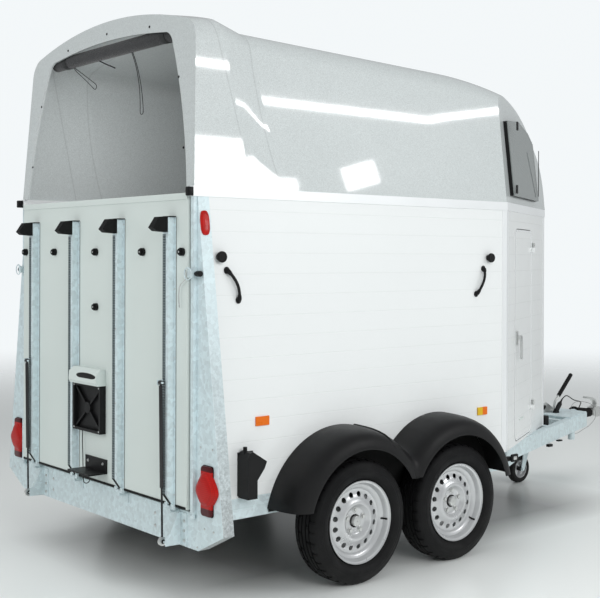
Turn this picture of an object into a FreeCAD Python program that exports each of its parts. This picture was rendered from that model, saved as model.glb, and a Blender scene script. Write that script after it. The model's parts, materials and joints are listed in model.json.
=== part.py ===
"""Two-horse trailer with a moulded hood, a rear ramp and a braked tandem chassis.

Lengths are millimetres. Stations x run forward from the outer face of the ramp, y is to the
left and z up from the ground. Every finished piece is moved back by `origin_x`, so that the
origin lies on the ground under the middle of the whole trailer.
"""
import FreeCAD, Part
import math
import os

V = FreeCAD.Vector
os.makedirs("parts", exist_ok=True)

# body shell
half_width = 875.0          # outer face of the side walls
side_length = 2227.0        # ramp face to the corner where the front narrows
bevel_run = 1033.0          # how far forward the bevelled front walls reach
nose_half = 350.0           # half width of the nose wall
wall_t = 25.0
wall_low = 488.0            # underside of the walls, top of the sills
wall_high = 1421.0          # height of the walls
belt_depth = 48.0           # belt rail, between the walls and the hood
belt_proud = 5.0
belt_from = 4.0
belt_cap = 29.0             # black end caps of the belt rail
corner_leg = 40.0           # visible leg of the corner profiles
corner_proud = 1.5
nose_x = side_length + bevel_run
belt_low = wall_low + wall_high
belt_high = belt_low + belt_depth

# wheels
tyre_r = 311.0
tyre_width = 185.0
rim_stand = 177.0           # rim's outer plane, out from the side walls
rim_width = 154.0
rim_flange_r = 207.8
rim_seat_r = 190.0
wheel_mid = 0.5629          # middle of the tandem, as a share of the side's length
wheel_spacing = 711.0
vent_count = 16
vent_ring_r = 134.0
bolt_ring_r = 56.0
spindle_r = 20.0
bearing_fit = 0.05
rim_edge_y = half_width + rim_stand
wheel_centre = wheel_mid * side_length
wheel_x = {"rear": wheel_centre - wheel_spacing / 2, "front": wheel_centre + wheel_spacing / 2}
bearing_r = spindle_r + bearing_fit

# chassis
rail_inboard = 156.0        # rails' outer face, in from the side walls
rail_w = 50.0
rail_low = 388.0
rail_depth = 100.0
kink_ahead = 228.0          # the rails turn inward this far past the side's end
drawbar_run = 730.0         # rails' ends, ahead of the nose
drawbar_end_y = 186.0
sill_depth = 45.0
floor_t = 20.0
mat_t = 6.0
floor_rear = 60.0
rail_outer_y = half_width - rail_inboard
rail_high = rail_low + rail_depth
rail_kink_x = side_length + kink_ahead
drawbar_end_x = nose_x + drawbar_run

# rear frame
frame_x = 30.0              # outer face of the posts and of the cross member
plate_t = 4.0
post_flange = 62.0          # how far the posts' outer flange runs forward
post_inset = 25.0           # posts' inner edge, in from the side walls
post_top_out = 1.0          # posts' outer edge at the belt, out from the side walls
post_foot_out = 207.0       # and at the foot
post_foot_z = 378.0
chamfer_out = 13.0
member_low = 281.0
member_depth = 167.0
member_run = 60.0
strip_w = 22.0              # upright tube between a post and the ramp
strip_depth = 20.0
strip_low = 445.0
post_inner_y = half_width - post_inset
post_top_y = half_width + post_top_out
post_foot_y = half_width + post_foot_out
chamfer_y = half_width + chamfer_out
member_high = member_low + member_depth
member_front = frame_x + member_run
wall_rear = frame_x + plate_t

# ramp
ramp_half = half_width - 39.0
ramp_low = 464.0
ramp_top = belt_low + 17.0
ramp_t = 26.0
hinge_x = -6.0
hinge_z = 456.0
hinge_r = 8.0
hinge_pin_r = 4.0
hinge_fit = 0.06
rib_y = tuple(half_width * share for share in (0.7726, 0.2457, -0.2811, -0.8069))
rib_w = 46.0
rib_depth = 35.0
rib_lip = 16.0              # base flanges of the ribs
rib_lip_t = 3.0
rib_top = 1816.0
rib_foot = 500.0
foot_reach = 82.0           # how far the black feet stand off the ribs

# gas struts on the outer ribs
strut_top = (-58.0, 1044.0)  # x and z of the ball stud on the ramp
strut_foot = (-48.0, 303.0)  # x and z of the ball stud on the cross member
strut_r = 9.5
strut_rod_r = 5.0
strut_barrel = 490.0
strut_fit = 0.06
strut_eye_r = 11.0
strut_ball_r = 20.0
stud_r = 5.0

# hood
hood_t = 10.0
hood_rise = 898.0           # roof over the rear arch, up from the belt
crown_r = 2800.0
side_lean_rear = 0.07       # inward lean, millimetres per millimetre of height
side_lean_main = 0.105
bevel_lean = 0.1
arch_lean = 0.055           # forward lean of the rear arch
hood_shoulder_r = 110.0
hood_step = 30.4            # how far the main roof starts below the rear arch
roof_turns = ((3200.0, 15.4), (1354.0, 19.0), (318.0, 54.0))
brow_run = 173.0
crown_rear = belt_high + hood_rise
roof_run = nose_x - 1693.0

# service door, measured along the right bevel from its rear corner
door_from = 238.0
door_w = 500.0
door_sill = 23.0            # wall left under the door, and over its top
door_head = 105.0
door_corner = 60.0
door_gap = 5.0
door_hinge_t = -13.0
door_to = door_from + door_w
door_low = wall_low + door_sill
door_h = wall_high - door_sill - door_head
door_high = door_low + door_h
door_hinge_s = door_to + 6.0
door_hinge_z = (door_low + 166.0, door_high - 107.0)

# jockey wheel
jockey_x = nose_x + 280.0
jockey_y = 55.0
jockey_r = 100.0
jockey_trail = 45.0
jockey_tube_r = 30.0
jockey_inner_r = 24.0

# coupling and overrun device
tow_z = 445.0               # centre line of the overrun tube
tow_r = 42.0
gaiter_from = drawbar_end_x + 98.0
gaiter_run = 190.0
coupling_z = 430.0
coupling_ahead = 410.0      # centre of the ball, ahead of the rails' ends
ball_r = 25.0
socket_fit = 0.4
head_r = 40.0               # outside of the coupling head round the ball
coupling_x = drawbar_end_x + coupling_ahead

rear_tip = -(rib_depth + foot_reach)
front_tip = coupling_x + head_r
origin_x = (rear_tip + front_tip) / 2


def save(node, *shapes):
    shape = shapes[0] if len(shapes) == 1 else Part.makeCompound(list(shapes))
    shape = shape.copy()
    shape.translate(V(-origin_x, 0, 0))
    shape.exportStep("parts/%s.step" % node)


def box(x0, x1, y0, y1, z0, z1):
    return Part.makeBox(x1 - x0, y1 - y0, z1 - z0, V(x0, y0, z0))


def face_of(points):
    return Part.Face(Part.makePolygon([V(*p) for p in points] + [V(*points[0])]))


def prism_z(outline, z0, z1):
    return face_of([(x, y, z0) for x, y in outline]).extrude(V(0, 0, z1 - z0))


def prism_y(outline, y0, y1):
    return face_of([(x, y0, z) for x, z in outline]).extrude(V(0, y1 - y0, 0))


def prism_x(outline, x0, x1):
    return face_of([(x0, y, z) for y, z in outline]).extrude(V(x1 - x0, 0, 0))


def rod(a, b, r):
    a, b = V(*a), V(*b)
    return Part.makeCylinder(r, (b - a).Length, a, b - a)


def rod_y(x, z, y0, y1, r):
    return rod((x, y0, z), (x, y1, z), r)


def mirrored(shape):
    return shape.mirror(V(0, 0, 0), V(0, 1, 0))


def both(shape):
    return shape, mirrored(shape)


def fused(shapes):
    first, *rest = shapes
    return first.fuse(rest).removeSplitter() if rest else first


def turned(profile, axis_point, axis, degrees=360.0):
    """Revolve a closed outline of (x, y, z) points."""
    return face_of(profile).revolve(V(*axis_point), V(*axis), degrees)


def solid_between(low, high):
    """A solid with flat faces between two matching outlines."""
    n = len(low)
    faces = [face_of(low), face_of(high)]
    faces += [face_of([low[i], low[(i + 1) % n], high[(i + 1) % n], high[i]]) for i in range(n)]
    solid = Part.Solid(Part.Shell(faces))
    return solid if solid.Volume > 0 else solid.reversed()


# The plan of the body: sides, two bevels and a nose. A positive inset moves every line inward.
bevel_len = math.hypot(bevel_run, half_width - nose_half)
bevel_dir = (bevel_run / bevel_len, (half_width - nose_half) / bevel_len)
bevel_normal = (bevel_dir[1], bevel_dir[0])
bevel_reach = bevel_normal[0] * side_length + bevel_normal[1] * half_width


def plan_corners(side_inset, bevel_inset, nose_inset):
    side_y = half_width - side_inset
    front_x = nose_x - nose_inset
    reach = bevel_reach - bevel_inset
    return ((reach - bevel_normal[1] * side_y) / bevel_normal[0], side_y,
            front_x, (reach - bevel_normal[0] * front_x) / bevel_normal[1])


def plan_outline(inset, rear_x):
    x1, y1, x2, y2 = plan_corners(inset, inset, inset)
    return [(rear_x, -y1), (x1, -y1), (x2, -y2), (x2, y2), (x1, y1), (rear_x, y1)]


def on_bevel(shape):
    """Place a shape drawn as (along the right bevel, inward, up)."""
    turn = math.degrees(math.atan2(bevel_dir[1], bevel_dir[0]))
    shape = shape.copy()
    place = FreeCAD.Placement(V(side_length, -half_width, 0),
                              FreeCAD.Rotation(V(0, 0, 1), turn))
    shape.Placement = place.multiply(shape.Placement)
    return shape


def bevel_point(s, t, z):
    return (side_length + bevel_dir[0] * s - bevel_dir[1] * t,
            -half_width + bevel_dir[1] * s + bevel_dir[0] * t, z)


# walls
def side_wall():
    end = side_length - corner_leg
    return box(wall_rear, end, -half_width, -half_width + wall_t, wall_low, belt_low)


def bevel_blank():
    return on_bevel(box(corner_leg, bevel_len - corner_leg, 0, wall_t, wall_low, belt_low))


def door_slab(grow, t0, t1):
    low, high = door_low - grow, door_high + grow
    slab = box(door_from - grow, door_to + grow, t0, t1, low, high)
    corners = [e for e in slab.Edges
               if abs(e.Vertexes[0].Y - e.Vertexes[1].Y) > 1.0]
    return slab.makeFillet(door_corner + grow, corners)


def corner_profile(turn_at, direction_a, direction_b):
    """A vertical angle profile that covers the joint of two walls."""
    def at(direction, along, inward):
        normal = (-direction[1], direction[0])
        return (turn_at[0] + direction[0] * along + normal[0] * inward,
                turn_at[1] + direction[1] * along + normal[1] * inward)

    def miter(inward):
        na = (-direction_a[1], direction_a[0])
        nb = (-direction_b[1], direction_b[0])
        k = inward / (1 + na[0] * nb[0] + na[1] * nb[1])
        return (turn_at[0] + (na[0] + nb[0]) * k, turn_at[1] + (na[1] + nb[1]) * k)

    outline = [at(direction_a, -corner_leg, -corner_proud), miter(-corner_proud),
               at(direction_b, corner_leg, -corner_proud), at(direction_b, corner_leg, wall_t),
               miter(wall_t), at(direction_a, -corner_leg, wall_t)]
    return prism_z(outline, wall_low, belt_low)


for side, place in (("right", lambda s: s), ("left", mirrored)):
    save("side_wall_" + side, place(side_wall()))
save("bevel_wall_right", bevel_blank().cut(on_bevel(door_slab(door_gap, -5, wall_t + 5))))
save("bevel_wall_left", mirrored(bevel_blank()))
save("nose_wall", box(nose_x - wall_t, nose_x, -nose_half + corner_leg, nose_half - corner_leg,
                      wall_low, belt_low))

corner_side = corner_profile((side_length, -half_width), (1, 0), bevel_dir)
corner_nose = corner_profile((nose_x, -nose_half), bevel_dir, (0, 1))
save("corner_profiles", *both(corner_side), *both(corner_nose))

belt = prism_z(plan_outline(-belt_proud, belt_from), belt_low, belt_high)
save("belt_rail", belt.cut(prism_z(plan_outline(wall_t, belt_from - 50), belt_low - 1,
                                   belt_high + 1)))

# The door's two hinges: a leaf, a link and a barrel on each side of a shared pin.
leaf_t = 5.0
leaf_half = 30.0
barrel_r = 7.0
door_pin_r = 3.0
door_pin_fit = 0.06


def door_rod(z, z0, z1, r):
    return rod(bevel_point(door_hinge_s, door_hinge_t, z + z0),
               bevel_point(door_hinge_s, door_hinge_t, z + z1), r)


door = [on_bevel(door_slab(0, 0, wall_t))]
fixed_hinges = []
door_bores = []
for z in door_hinge_z:
    door.append(on_bevel(box(door_to - 60, door_hinge_s, -leaf_t, 0, z - leaf_half, z - 1)))
    door.append(on_bevel(box(door_hinge_s - 8, door_hinge_s, door_hinge_t, 0, z - leaf_half, z - 1)))
    door.append(door_rod(z, -leaf_half, -1, barrel_r))
    door_bores.append(door_rod(z, -24, 1, door_pin_r + door_pin_fit))
    leaf = on_bevel(box(door_hinge_s + 2, door_hinge_s + 50, -leaf_t, 0, z + 1, z + leaf_half))
    link = on_bevel(box(door_hinge_s + 2, door_hinge_s + 8, door_hinge_t, 0, z + 1, z + leaf_half))
    fixed_hinges.append(fused([leaf, link, door_rod(z, 1, leaf_half, barrel_r),
                               door_rod(z, -22, 4, door_pin_r)]))
save("service_door", fused(door).cut(Part.makeCompound(door_bores)))
save("door_hinges", *fixed_hinges)
handle_low = door_low + 500.0
handle_plate = box(door_from + 20, door_from + 62, -8, 0, handle_low + 86, handle_low + 170)
handle_lever = box(door_from + 50, door_from + 66, -34, -20, handle_low, handle_low + 140)
handle_neck = box(door_from + 34, door_from + 60, -30, -8, handle_low + 118, handle_low + 146)
save("door_handle", on_bevel(fused([handle_plate, handle_lever, handle_neck])))

# chassis
rail_slope = (rail_outer_y - drawbar_end_y) / (drawbar_end_x - rail_kink_x)
rail_lean = math.atan(rail_slope)
rail_stretch = math.hypot(1, rail_slope)


def rail_y(x, offset):
    """Half width across the rails at a station, `offset` inboard of their outer faces."""
    straight = rail_outer_y - offset
    return min(straight, rail_outer_y - rail_slope * (x - rail_kink_x) - offset * rail_stretch)


def rail_side(offset):
    kink = rail_kink_x - offset * math.tan(rail_lean / 2)
    return [(x, -rail_y(x, offset)) for x in (member_front, kink, drawbar_end_x)]


def across(x0, x1, offset, z0, z1):
    """A plate or bar across the chassis that follows the rails, `offset` in from them."""
    return prism_z([(x0, -rail_y(x0, offset)), (x1, -rail_y(x1, offset)),
                    (x1, rail_y(x1, offset)), (x0, rail_y(x0, offset))], z0, z1)


rail = prism_z(rail_side(0) + rail_side(rail_w)[::-1], rail_low, rail_high)
save("chassis_rail_right", rail)
save("chassis_rail_left", mirrored(rail))

bar_w = 40.0
seat_gap = 0.2              # between a cross bar's ends and the rails
cross_x = [share * side_length for share in (0.314, 0.561, 0.831, 1.087)] + [nose_x - bar_w]
save("cross_members", *[across(x, x + bar_w, rail_w + seat_gap, rail_low + 20, rail_high)
                        for x in cross_x])

sill_profile = [(3, rail_low), (sill_depth, rail_low), (sill_depth, wall_low), (0, wall_low),
                (0, wall_low - 48), (3, wall_low - 52)]
sill = prism_x([(-half_width + t, z) for t, z in sill_profile], frame_x + post_flange,
               side_length - 20)
bevel_sill = on_bevel(box(12, 250, 0, sill_depth, rail_low, wall_low))
save("sills", *both(sill), *both(bevel_sill))
save("floor", prism_z(plan_outline(wall_t, floor_rear), wall_low, wall_low + floor_t))
save("floor_mat", prism_z(plan_outline(wall_t + 4, floor_rear + 2), wall_low + floor_t,
                          wall_low + floor_t + mat_t))

# rear frame: a folded plate each side, with an upright tube and a latch along its inner edge
post_outline = [(-post_inner_y, belt_low), (-post_top_y, belt_low), (-post_foot_y, post_foot_z),
                (-chamfer_y, member_low), (-post_inner_y, member_low)]
post_hollow = [(-post_inner_y + 5, belt_low + 5), (-post_top_y + plate_t, belt_low + 5),
               (-post_foot_y + plate_t, post_foot_z + 3), (-chamfer_y, member_low + plate_t + 1),
               (-post_inner_y + 5, member_low + plate_t + 1)]
post = prism_x(post_outline, frame_x, frame_x + post_flange)
post = post.cut(prism_x(post_hollow, wall_rear, frame_x + post_flange + 5)).cut(side_wall())
strip_y = -post_inner_y - strip_w
post_strip = box(frame_x - strip_depth, frame_x, strip_y, -post_inner_y, strip_low, belt_low)
strip_mid = strip_y + strip_w / 2
strip_boss = rod((frame_x - 13, strip_mid, strip_low - 17), (frame_x - 13, strip_mid, strip_low), 13)
latch_z = wall_low + 0.75 * wall_high
latch_block = box(frame_x - strip_depth - 24, frame_x - strip_depth, strip_y - 4, strip_y + 14,
                  latch_z - 18, latch_z + 18)
ring_x = frame_x - strip_depth - 29
ring = Part.makeTorus(28, 2.5, V(ring_x, strip_y + 4, latch_z), V(1, 0, 0))
latch_stem = rod((frame_x - 15, strip_y - 10, latch_z), (frame_x - 15, strip_y + 2, latch_z), 6)
ring_link = rod((ring_x, strip_y + 4, latch_z + 28), (ring_x + 16, strip_y + 4, latch_z + 14), 4)
post = fused([post, post_strip, strip_boss, latch_block, ring_link, latch_stem]).fuse(ring)
save("rear_posts", *both(post))

member = box(frame_x, member_front, -post_inner_y, post_inner_y, member_low, member_high)
member = member.cut(box(wall_rear, member_front + 10, -post_inner_y - 5, post_inner_y + 5,
                        member_low + plate_t, member_high - plate_t))
strut_y = {"left": rib_y[0], "right": rib_y[3]}
gusset = [(frame_x, member_low + 5), (frame_x, member_high - 10), (frame_x - 20, member_high - 10),
          (strut_foot[0] + 14, member_low + 62), (strut_foot[0] - 12, member_low + 50),
          (strut_foot[0] - 12, member_low + 8)]
brackets = []
for y in strut_y.values():
    brackets.append(prism_y(gusset, y - 46, y - 42))
    brackets.append(box(frame_x - plate_t, frame_x, y - 92, y - 42, member_low + 5,
                        member_high - 10))
    brackets.append(rod_y(*strut_foot, y - 46, y - 16, stud_r))
for y in rib_y:
    brackets.append(rod_y(hinge_x, hinge_z, y - 14, y + 14, hinge_r))
    brackets.append(rod_y(hinge_x, hinge_z, y - 38, y + 38, hinge_pin_r))
    brackets.append(box(hinge_x - hinge_r, frame_x, y - 14, y + 14, hinge_z - 22, hinge_z - 4))
    brackets.append(box(frame_x - 3, frame_x, y - 32, y + 32, member_high - 52, member_high - 2))
save("rear_cross_member", fused([member] + brackets))

# ramp
panel = box(0, ramp_t, -ramp_half, ramp_half, ramp_low, ramp_top)
top_bar = box(-4, 0, -ramp_half, ramp_half, ramp_top - 30, ramp_top)
save("ramp_panel", fused([panel, top_bar]))
rib_side = [(0, rib_foot - 30), (0, rib_top), (-rib_depth, rib_top), (-rib_depth, rib_foot + 20),
            (-8, rib_foot - 30)]
half_rib = rib_w / 2
ribs = {}
for y in rib_y:
    pieces = [prism_y(rib_side, y - half_rib, y + half_rib),
              box(-rib_lip_t, 0, y - half_rib - rib_lip, y + half_rib + rib_lip, rib_foot - 30,
                  rib_top)]
    for y0, y1 in ((y - 38, y - 14.5), (y + 14.5, y + 38)):
        pieces.append(rod_y(hinge_x, hinge_z, y0, y1, hinge_r))
        pieces.append(box(hinge_x - 6, 0, y0, y1, hinge_z + 6, rib_foot - 25))
    if y in strut_y.values():
        pieces.append(rod_y(*strut_top, y - 16, y + 20, stud_r))
        pieces.append(box(strut_top[0] - 8, -rib_depth, y + 16, y + 22, strut_top[1] - 12,
                          strut_top[1] + 12))
    ribs[y] = fused(pieces).cut(rod_y(hinge_x, hinge_z, y - 50, y + 50, hinge_pin_r + hinge_fit))
save("ramp_ribs", *ribs.values())

foot_side = [(-rib_depth, rib_top + 4), (-rib_depth - 48, rib_top),
             (-rib_depth - foot_reach, rib_top - 50), (-rib_depth - 62, rib_top - 66),
             (-rib_depth, rib_top - 70)]
feet = [prism_y(foot_side, y - half_rib + 2, y + half_rib - 2) for y in rib_y]
button_at = ((0.958, 1654), (0.539, 1654), (-0.001, 1654), (-0.547, 1654), (-0.957, 1654),
             (-0.005, 1370))       # as shares of the ramp's half width
buttons = [fused([rod((0, y, z), (-16, y, z), 19), rod((-16, y, z), (-24, y, z), 14)])
           for y, z in ((share * ramp_half, z) for share, z in button_at)]
save("ramp_rubbers", *feet, *buttons)

# plate holder with its lamp box above and a black shelf bracket below
holder_y = (rib_y[2] + 146.0, rib_y[1] - 29.0)
holder_z = (722.0, 968.0, 1052.0)
holder_t = 34.0
lip = 14.0
tray = box(-holder_t, 0, *holder_y, holder_z[0], holder_z[1])
tray = tray.cut(box(-holder_t - 1, -12, holder_y[0] + lip, holder_y[1] - lip, holder_z[0] + lip,
                    holder_z[1] - lip))
centre = ((holder_y[0] + holder_y[1]) / 2, (holder_z[0] + holder_z[1]) / 2)
half_tray = ((holder_y[1] - holder_y[0]) / 2 - lip, (holder_z[1] - holder_z[0]) / 2 - lip)
braces = []
for sign in (-1, 1):
    ends = [(centre[0] - half_tray[0], centre[1] - sign * half_tray[1]),
            (centre[0] + half_tray[0], centre[1] + sign * half_tray[1])]
    braces.append(prism_x([(ends[0][0], ends[0][1] - 7), (ends[1][0], ends[1][1] - 7),
                           (ends[1][0], ends[1][1] + 7), (ends[0][0], ends[0][1] + 7)], -26, -12))
boss = rod((-28, *centre), (-12, *centre), 30)
inside = box(-30, 0, holder_y[0] + 2, holder_y[1] - 2, holder_z[0] + 2, holder_z[1] - 2)
holder = fused([tray] + [b.common(inside) for b in braces] + [boss])
shelf_y = (rib_y[2] + 128.0, rib_y[1] - 115.0)
shelf_z = (520.0, 592.0)
shelf = fused([box(-6, 0, *shelf_y, shelf_z[0] + 8, shelf_z[1]),
               box(-110, 0, *shelf_y, shelf_z[0], shelf_z[0] + 8)])
save("plate_holder", holder.cut(ribs[rib_y[1]]), shelf)
lamp_side = [(0, holder_z[1]), (0, holder_z[2]), (-30, holder_z[2]), (-56, holder_z[2] - 22),
             (-60, holder_z[1] + 16), (-50, holder_z[1])]
save("plate_lamp", prism_y(lamp_side, *holder_y).cut(ribs[rib_y[1]]))


# gas struts
def strut(y):
    top, foot = V(strut_top[0], y, strut_top[1]), V(strut_foot[0], y, strut_foot[1])
    along = foot - top
    along.normalize()
    gland = top + along * strut_barrel
    barrel = Part.makeCylinder(strut_r, strut_barrel - 14, top + along * 14, along)
    eye = rod_y(top.x, top.z, y - 8, y + 8, strut_eye_r)
    neck = Part.makeCylinder(6, 16, top, along)
    pin_hole = rod_y(top.x, top.z, y - 30, y + 30, stud_r + strut_fit)
    bore = Part.makeCylinder(strut_rod_r + strut_fit, strut_barrel - 30, top + along * 30, along)
    barrel = fused([barrel, eye, neck]).cut(pin_hole).cut(bore)
    reach = (foot - gland).Length
    rod_top = gland - along * 230
    piston = Part.makeCylinder(strut_rod_r, reach + 230, rod_top, along)
    foot_eye = rod_y(foot.x, foot.z, y - 8, y + 8, strut_ball_r)
    foot_hole = rod_y(foot.x, foot.z, y - 30, y + 30, stud_r + 0.5)
    piston = fused([piston, foot_eye]).cut(foot_hole)
    return barrel, piston


for side, y in strut_y.items():
    barrel, piston = strut(y)
    save("strut_cylinder_" + side, barrel)
    save("strut_rod_" + side, piston)


# hood
def tangent_chain(start, heading, moves, inset):
    """Edges in the xz plane: ("line", length) or ("arc", radius, degrees turned downward).

    A positive inset draws the parallel line that far below.
    """
    x = start[0] + inset * math.sin(math.radians(heading))
    z = start[1] - inset * math.cos(math.radians(heading))
    edges = []
    for kind, *size in moves:
        h = math.radians(heading)
        if kind == "line":
            end = V(x + size[0] * math.cos(h), 0, z + size[0] * math.sin(h))
            edges.append(Part.LineSegment(V(x, 0, z), end).toShape())
        else:
            r, turn = size[0] - inset, size[1]
            cx, cz = x + r * math.sin(h), z - r * math.cos(h)
            ends = [V(cx - r * math.sin(a), 0, cz + r * math.cos(a))
                    for a in (math.radians(heading - turn / 2), math.radians(heading - turn))]
            edges.append(Part.Arc(V(x, 0, z), *ends).toShape())
            heading -= turn
            end = ends[1]
        x, z = end.x, end.z
    return edges, (x, z)


crown_axis = crown_rear - crown_r
crown_low = belt_high - 60.0
crown_sweep = math.degrees(math.atan2(half_width + 80, crown_low - crown_axis))


def crowned(start, heading, moves, inset):
    """Roof solid: a side-view outline turned about the centre line of the crown."""
    edges, end = tangent_chain(start, heading, moves, inset)
    first = edges[0].Vertexes[0].Point
    close = [V(end[0], 0, end[1]), V(end[0], 0, crown_low), V(first.x, 0, crown_low), first]
    face = Part.Face(Part.Wire(edges + Part.makePolygon(close).Edges))
    face.rotate(V(0, 0, crown_axis), V(1, 0, 0), -crown_sweep)
    return face.revolve(V(0, 0, crown_axis), V(1, 0, 0), 2 * crown_sweep)


def leaning_block(inset, side_lean, with_bevels):
    """The body's plan drawn upward with leaning sides and, at the front, leaning bevels."""
    rings = []
    for z in (belt_high - 2.0 * inset, crown_rear + 150):
        dz = z - belt_high
        x1, y1, x2, y2 = plan_corners(inset + side_lean * dz, inset + bevel_lean * dz,
                                      inset - 40)
        rear = -200.0
        plan = [(rear, -y1), (x1, -y1), (x2, -y2), (x2, y2), (x1, y1), (rear, y1)]
        if not with_bevels:
            plan = [(rear, -y1), (x2, -y1), (x2, y1), (rear, y1)]
        rings.append([(x, y, z) for x, y in plan])
    return solid_between(*rings)


def half_space(point, lean, ahead):
    """Everything ahead of, or behind, a plane across the trailer that leans with height."""
    low, high = belt_high - 500, crown_rear + 600
    x = point[0] + lean * (low - point[1])
    top_x = point[0] + lean * (high - point[1])
    far = nose_x * 2 if ahead else -nose_x * 2
    return prism_y([(x, low), (top_x, high), (far, high), (far, low)], -2 * half_width,
                   2 * half_width)


def section_wire(body, point, lean):
    size = math.hypot(1.0, lean)
    normal = V(1.0 / size, 0, -lean / size)
    return body.slice(normal, normal.dot(V(point[0], 0, point[1])))[0]


roof_main = ((200.0, crown_rear - hood_step), -1.6,
             [("line", roof_run), ("arc", *roof_turns[0]), ("arc", *roof_turns[1]),
              ("line", brow_run), ("arc", *roof_turns[2]), ("line", 250.0)])
roof_rear = ((-100.0, crown_rear - 14.0), 5.2, [("line", 700.0)])
crease_rear = ((341.0, belt_high), -0.18)
crease_main = ((538.0, belt_high), -0.225)
arch_at = (12.0, belt_high)


def rounded_hood(roof, side_lean, inset):
    body = crowned(*roof, inset).common(leaning_block(inset, side_lean, False))
    shoulder = []
    for e in body.Edges:
        a, b = e.Vertexes[0].Point, e.Vertexes[-1].Point
        runs_forward = a.y * b.y > 0 and abs(a.x - b.x) > 40
        if runs_forward and belt_high + 43 < min(a.z, b.z) and abs(e.CenterOfMass.y) > 500:
            shoulder.append(e)
    return body.makeFillet(hood_shoulder_r - inset, shoulder)


def hood_solid(inset):
    """Rear hoop, the band that steps down from it, and the main hood, in one moulding."""
    main = rounded_hood(roof_main, side_lean_main, inset)
    main = main.common(leaning_block(inset, side_lean_main, True))
    rear = rounded_hood(roof_rear, side_lean_rear, inset)
    band = Part.makeLoft([section_wire(rear, *crease_rear), section_wire(main, *crease_main)],
                         True, True)
    main = main.common(half_space(*crease_main, True))
    rear = rear.common(half_space(*crease_rear, False))
    rear = rear.common(half_space((arch_at[0] + inset, arch_at[1]), arch_lean, True))
    return fused([rear, band, main])


def arch_opening(x0, x1):
    """The open hoop over the ramp: bowed sides, round corners and a crowned top."""
    def at(inset, drop):
        return V(x0, -half_width + inset, crown_rear - drop)

    foot = at(60, hood_rise + 57)
    side = Part.Arc(foot, at(133, 525), at(243, 200)).toShape()
    corner = Part.Arc(at(243, 200), at(275, 155), at(330, 139)).toShape()
    inner = at(330, 139)
    top = Part.Arc(inner, V(x0, 0, crown_rear - 103), V(x0, -inner.y, inner.z)).toShape()
    left = [mirrored(e) for e in (corner, side)]
    base = Part.LineSegment(V(x0, -foot.y, foot.z), foot).toShape()
    return Part.Face(Part.Wire([side, corner, top] + left + [base])).extrude(V(x1 - x0, 0, 0))


# The side windows lie on the leaning bevels of the hood: (along, up from the belt) of corners.
window_from = 110.0
window_to = bevel_len - 309.0
window_outline = [(window_from, 43), (window_from, 493), (window_from + 310, 521),
                  (window_to - 150, 475), (window_to - 20, 415), (window_to, 43)]
window_proud = 22.0
window_rim = 26.0
pane_t = 6.0


def on_hood_bevel(shape):
    shape = shape.copy()
    tilt = math.degrees(math.atan(bevel_lean))
    shape.rotate(V(0, 0, belt_high), V(1, 0, 0), -tilt)
    return on_bevel(shape)


def window_prism(shrink, t0, t1):
    corners = [V(a, t0, belt_high + up) for a, up in window_outline + window_outline[:1]]
    wire = Part.makePolygon(corners)
    if shrink:
        wire = wire.makeOffset2D(-shrink)
    return on_hood_bevel(Part.Face(wire).extrude(V(0, t1 - t0, 0)))


hood = hood_solid(0.0).cut(hood_solid(hood_t)).cut(arch_opening(-50, 140))
opening = window_prism(window_rim, -60, 60)
hood = hood.cut(opening).cut(mirrored(opening))
save("hood", hood)
frame = window_prism(0, -window_proud, 0).cut(window_prism(window_rim - 4, -60, 60))
pane = window_prism(0, -window_proud - pane_t, -window_proud)
save("window_frames", *both(frame))
save("window_panes", *both(pane))


# wheels
def spun(profile, x, z):
    """Turn (distance inboard from the rim's outer plane, radius) round a wheel's axle."""
    points = [(x, -rim_edge_y + t, z + r) for t, r in profile]
    return turned(points, (x, 0, z), (0, 1, 0))


rim_profile = [(0, rim_flange_r), (12, rim_flange_r), (12, 194), (30, rim_seat_r), (42, 172),
               (110, 172), (124, rim_seat_r), (142, 194), (142, rim_flange_r),
               (rim_width, rim_flange_r), (rim_width, 194), (128, 184), (116, 166),
               (46, 166), (60, 150), (56, 118), (34, 96), (34, 78), (50, 66), (50, 34),
               (44, 34), (44, 62), (28, 74), (28, 100), (48, 122), (52, 146), (36, 164), (26, 184),
               (4, 198)]
drum_profile = [(50, bearing_r), (50, 66), (56, 66), (56, 112), (118, 112), (118, bearing_r)]
hub_profile = [(50, 0), (50, 33), (36, 33), (28, 28), (28, 0)]
tyre_mid = rim_width / 2
tyre_half = tyre_width / 2
tyre_side = [(-47, 190.4), (-64.7, 194.4), (-64.7, 208.4), (-76, 216), (-tyre_half, 244),
             (-tyre_half + 2, 268), (-78, 300), (-66, tyre_r - 2), (-30, tyre_r)]
tyre_profile = ([(tyre_mid + a, r) for a, r in tyre_side]
                + [(tyre_mid - a, r) for a, r in tyre_side[::-1]])


def ring_of(count, r, x, depth0, depth1, hole_r, start=0.0):
    rods = []
    for i in range(count):
        a = 2 * math.pi * i / count + start
        cx, cz = x + r * math.cos(a), tyre_r + r * math.sin(a)
        rods.append(rod_y(cx, cz, -rim_edge_y + depth0, -rim_edge_y + depth1, hole_r))
    return rods


def wheel(x):
    rim = spun(rim_profile, x, tyre_r)
    rim = rim.cut(Part.makeCompound(ring_of(vent_count, vent_ring_r, x, 20, 80, 11)))
    hub = fused([spun(drum_profile, x, tyre_r), spun(hub_profile, x, tyre_r)])
    return (fused([rim, hub] + ring_of(5, bolt_ring_r, x, 30, 50, 9, 0.3)),
            spun(tyre_profile, x, tyre_r))


for end, x in wheel_x.items():
    rim, tyre = wheel(x)
    for side, place in (("right", lambda s: s), ("left", mirrored)):
        save("rim_%s_%s" % (end, side), place(rim))
        save("tyre_%s_%s" % (end, side), place(tyre))

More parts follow.
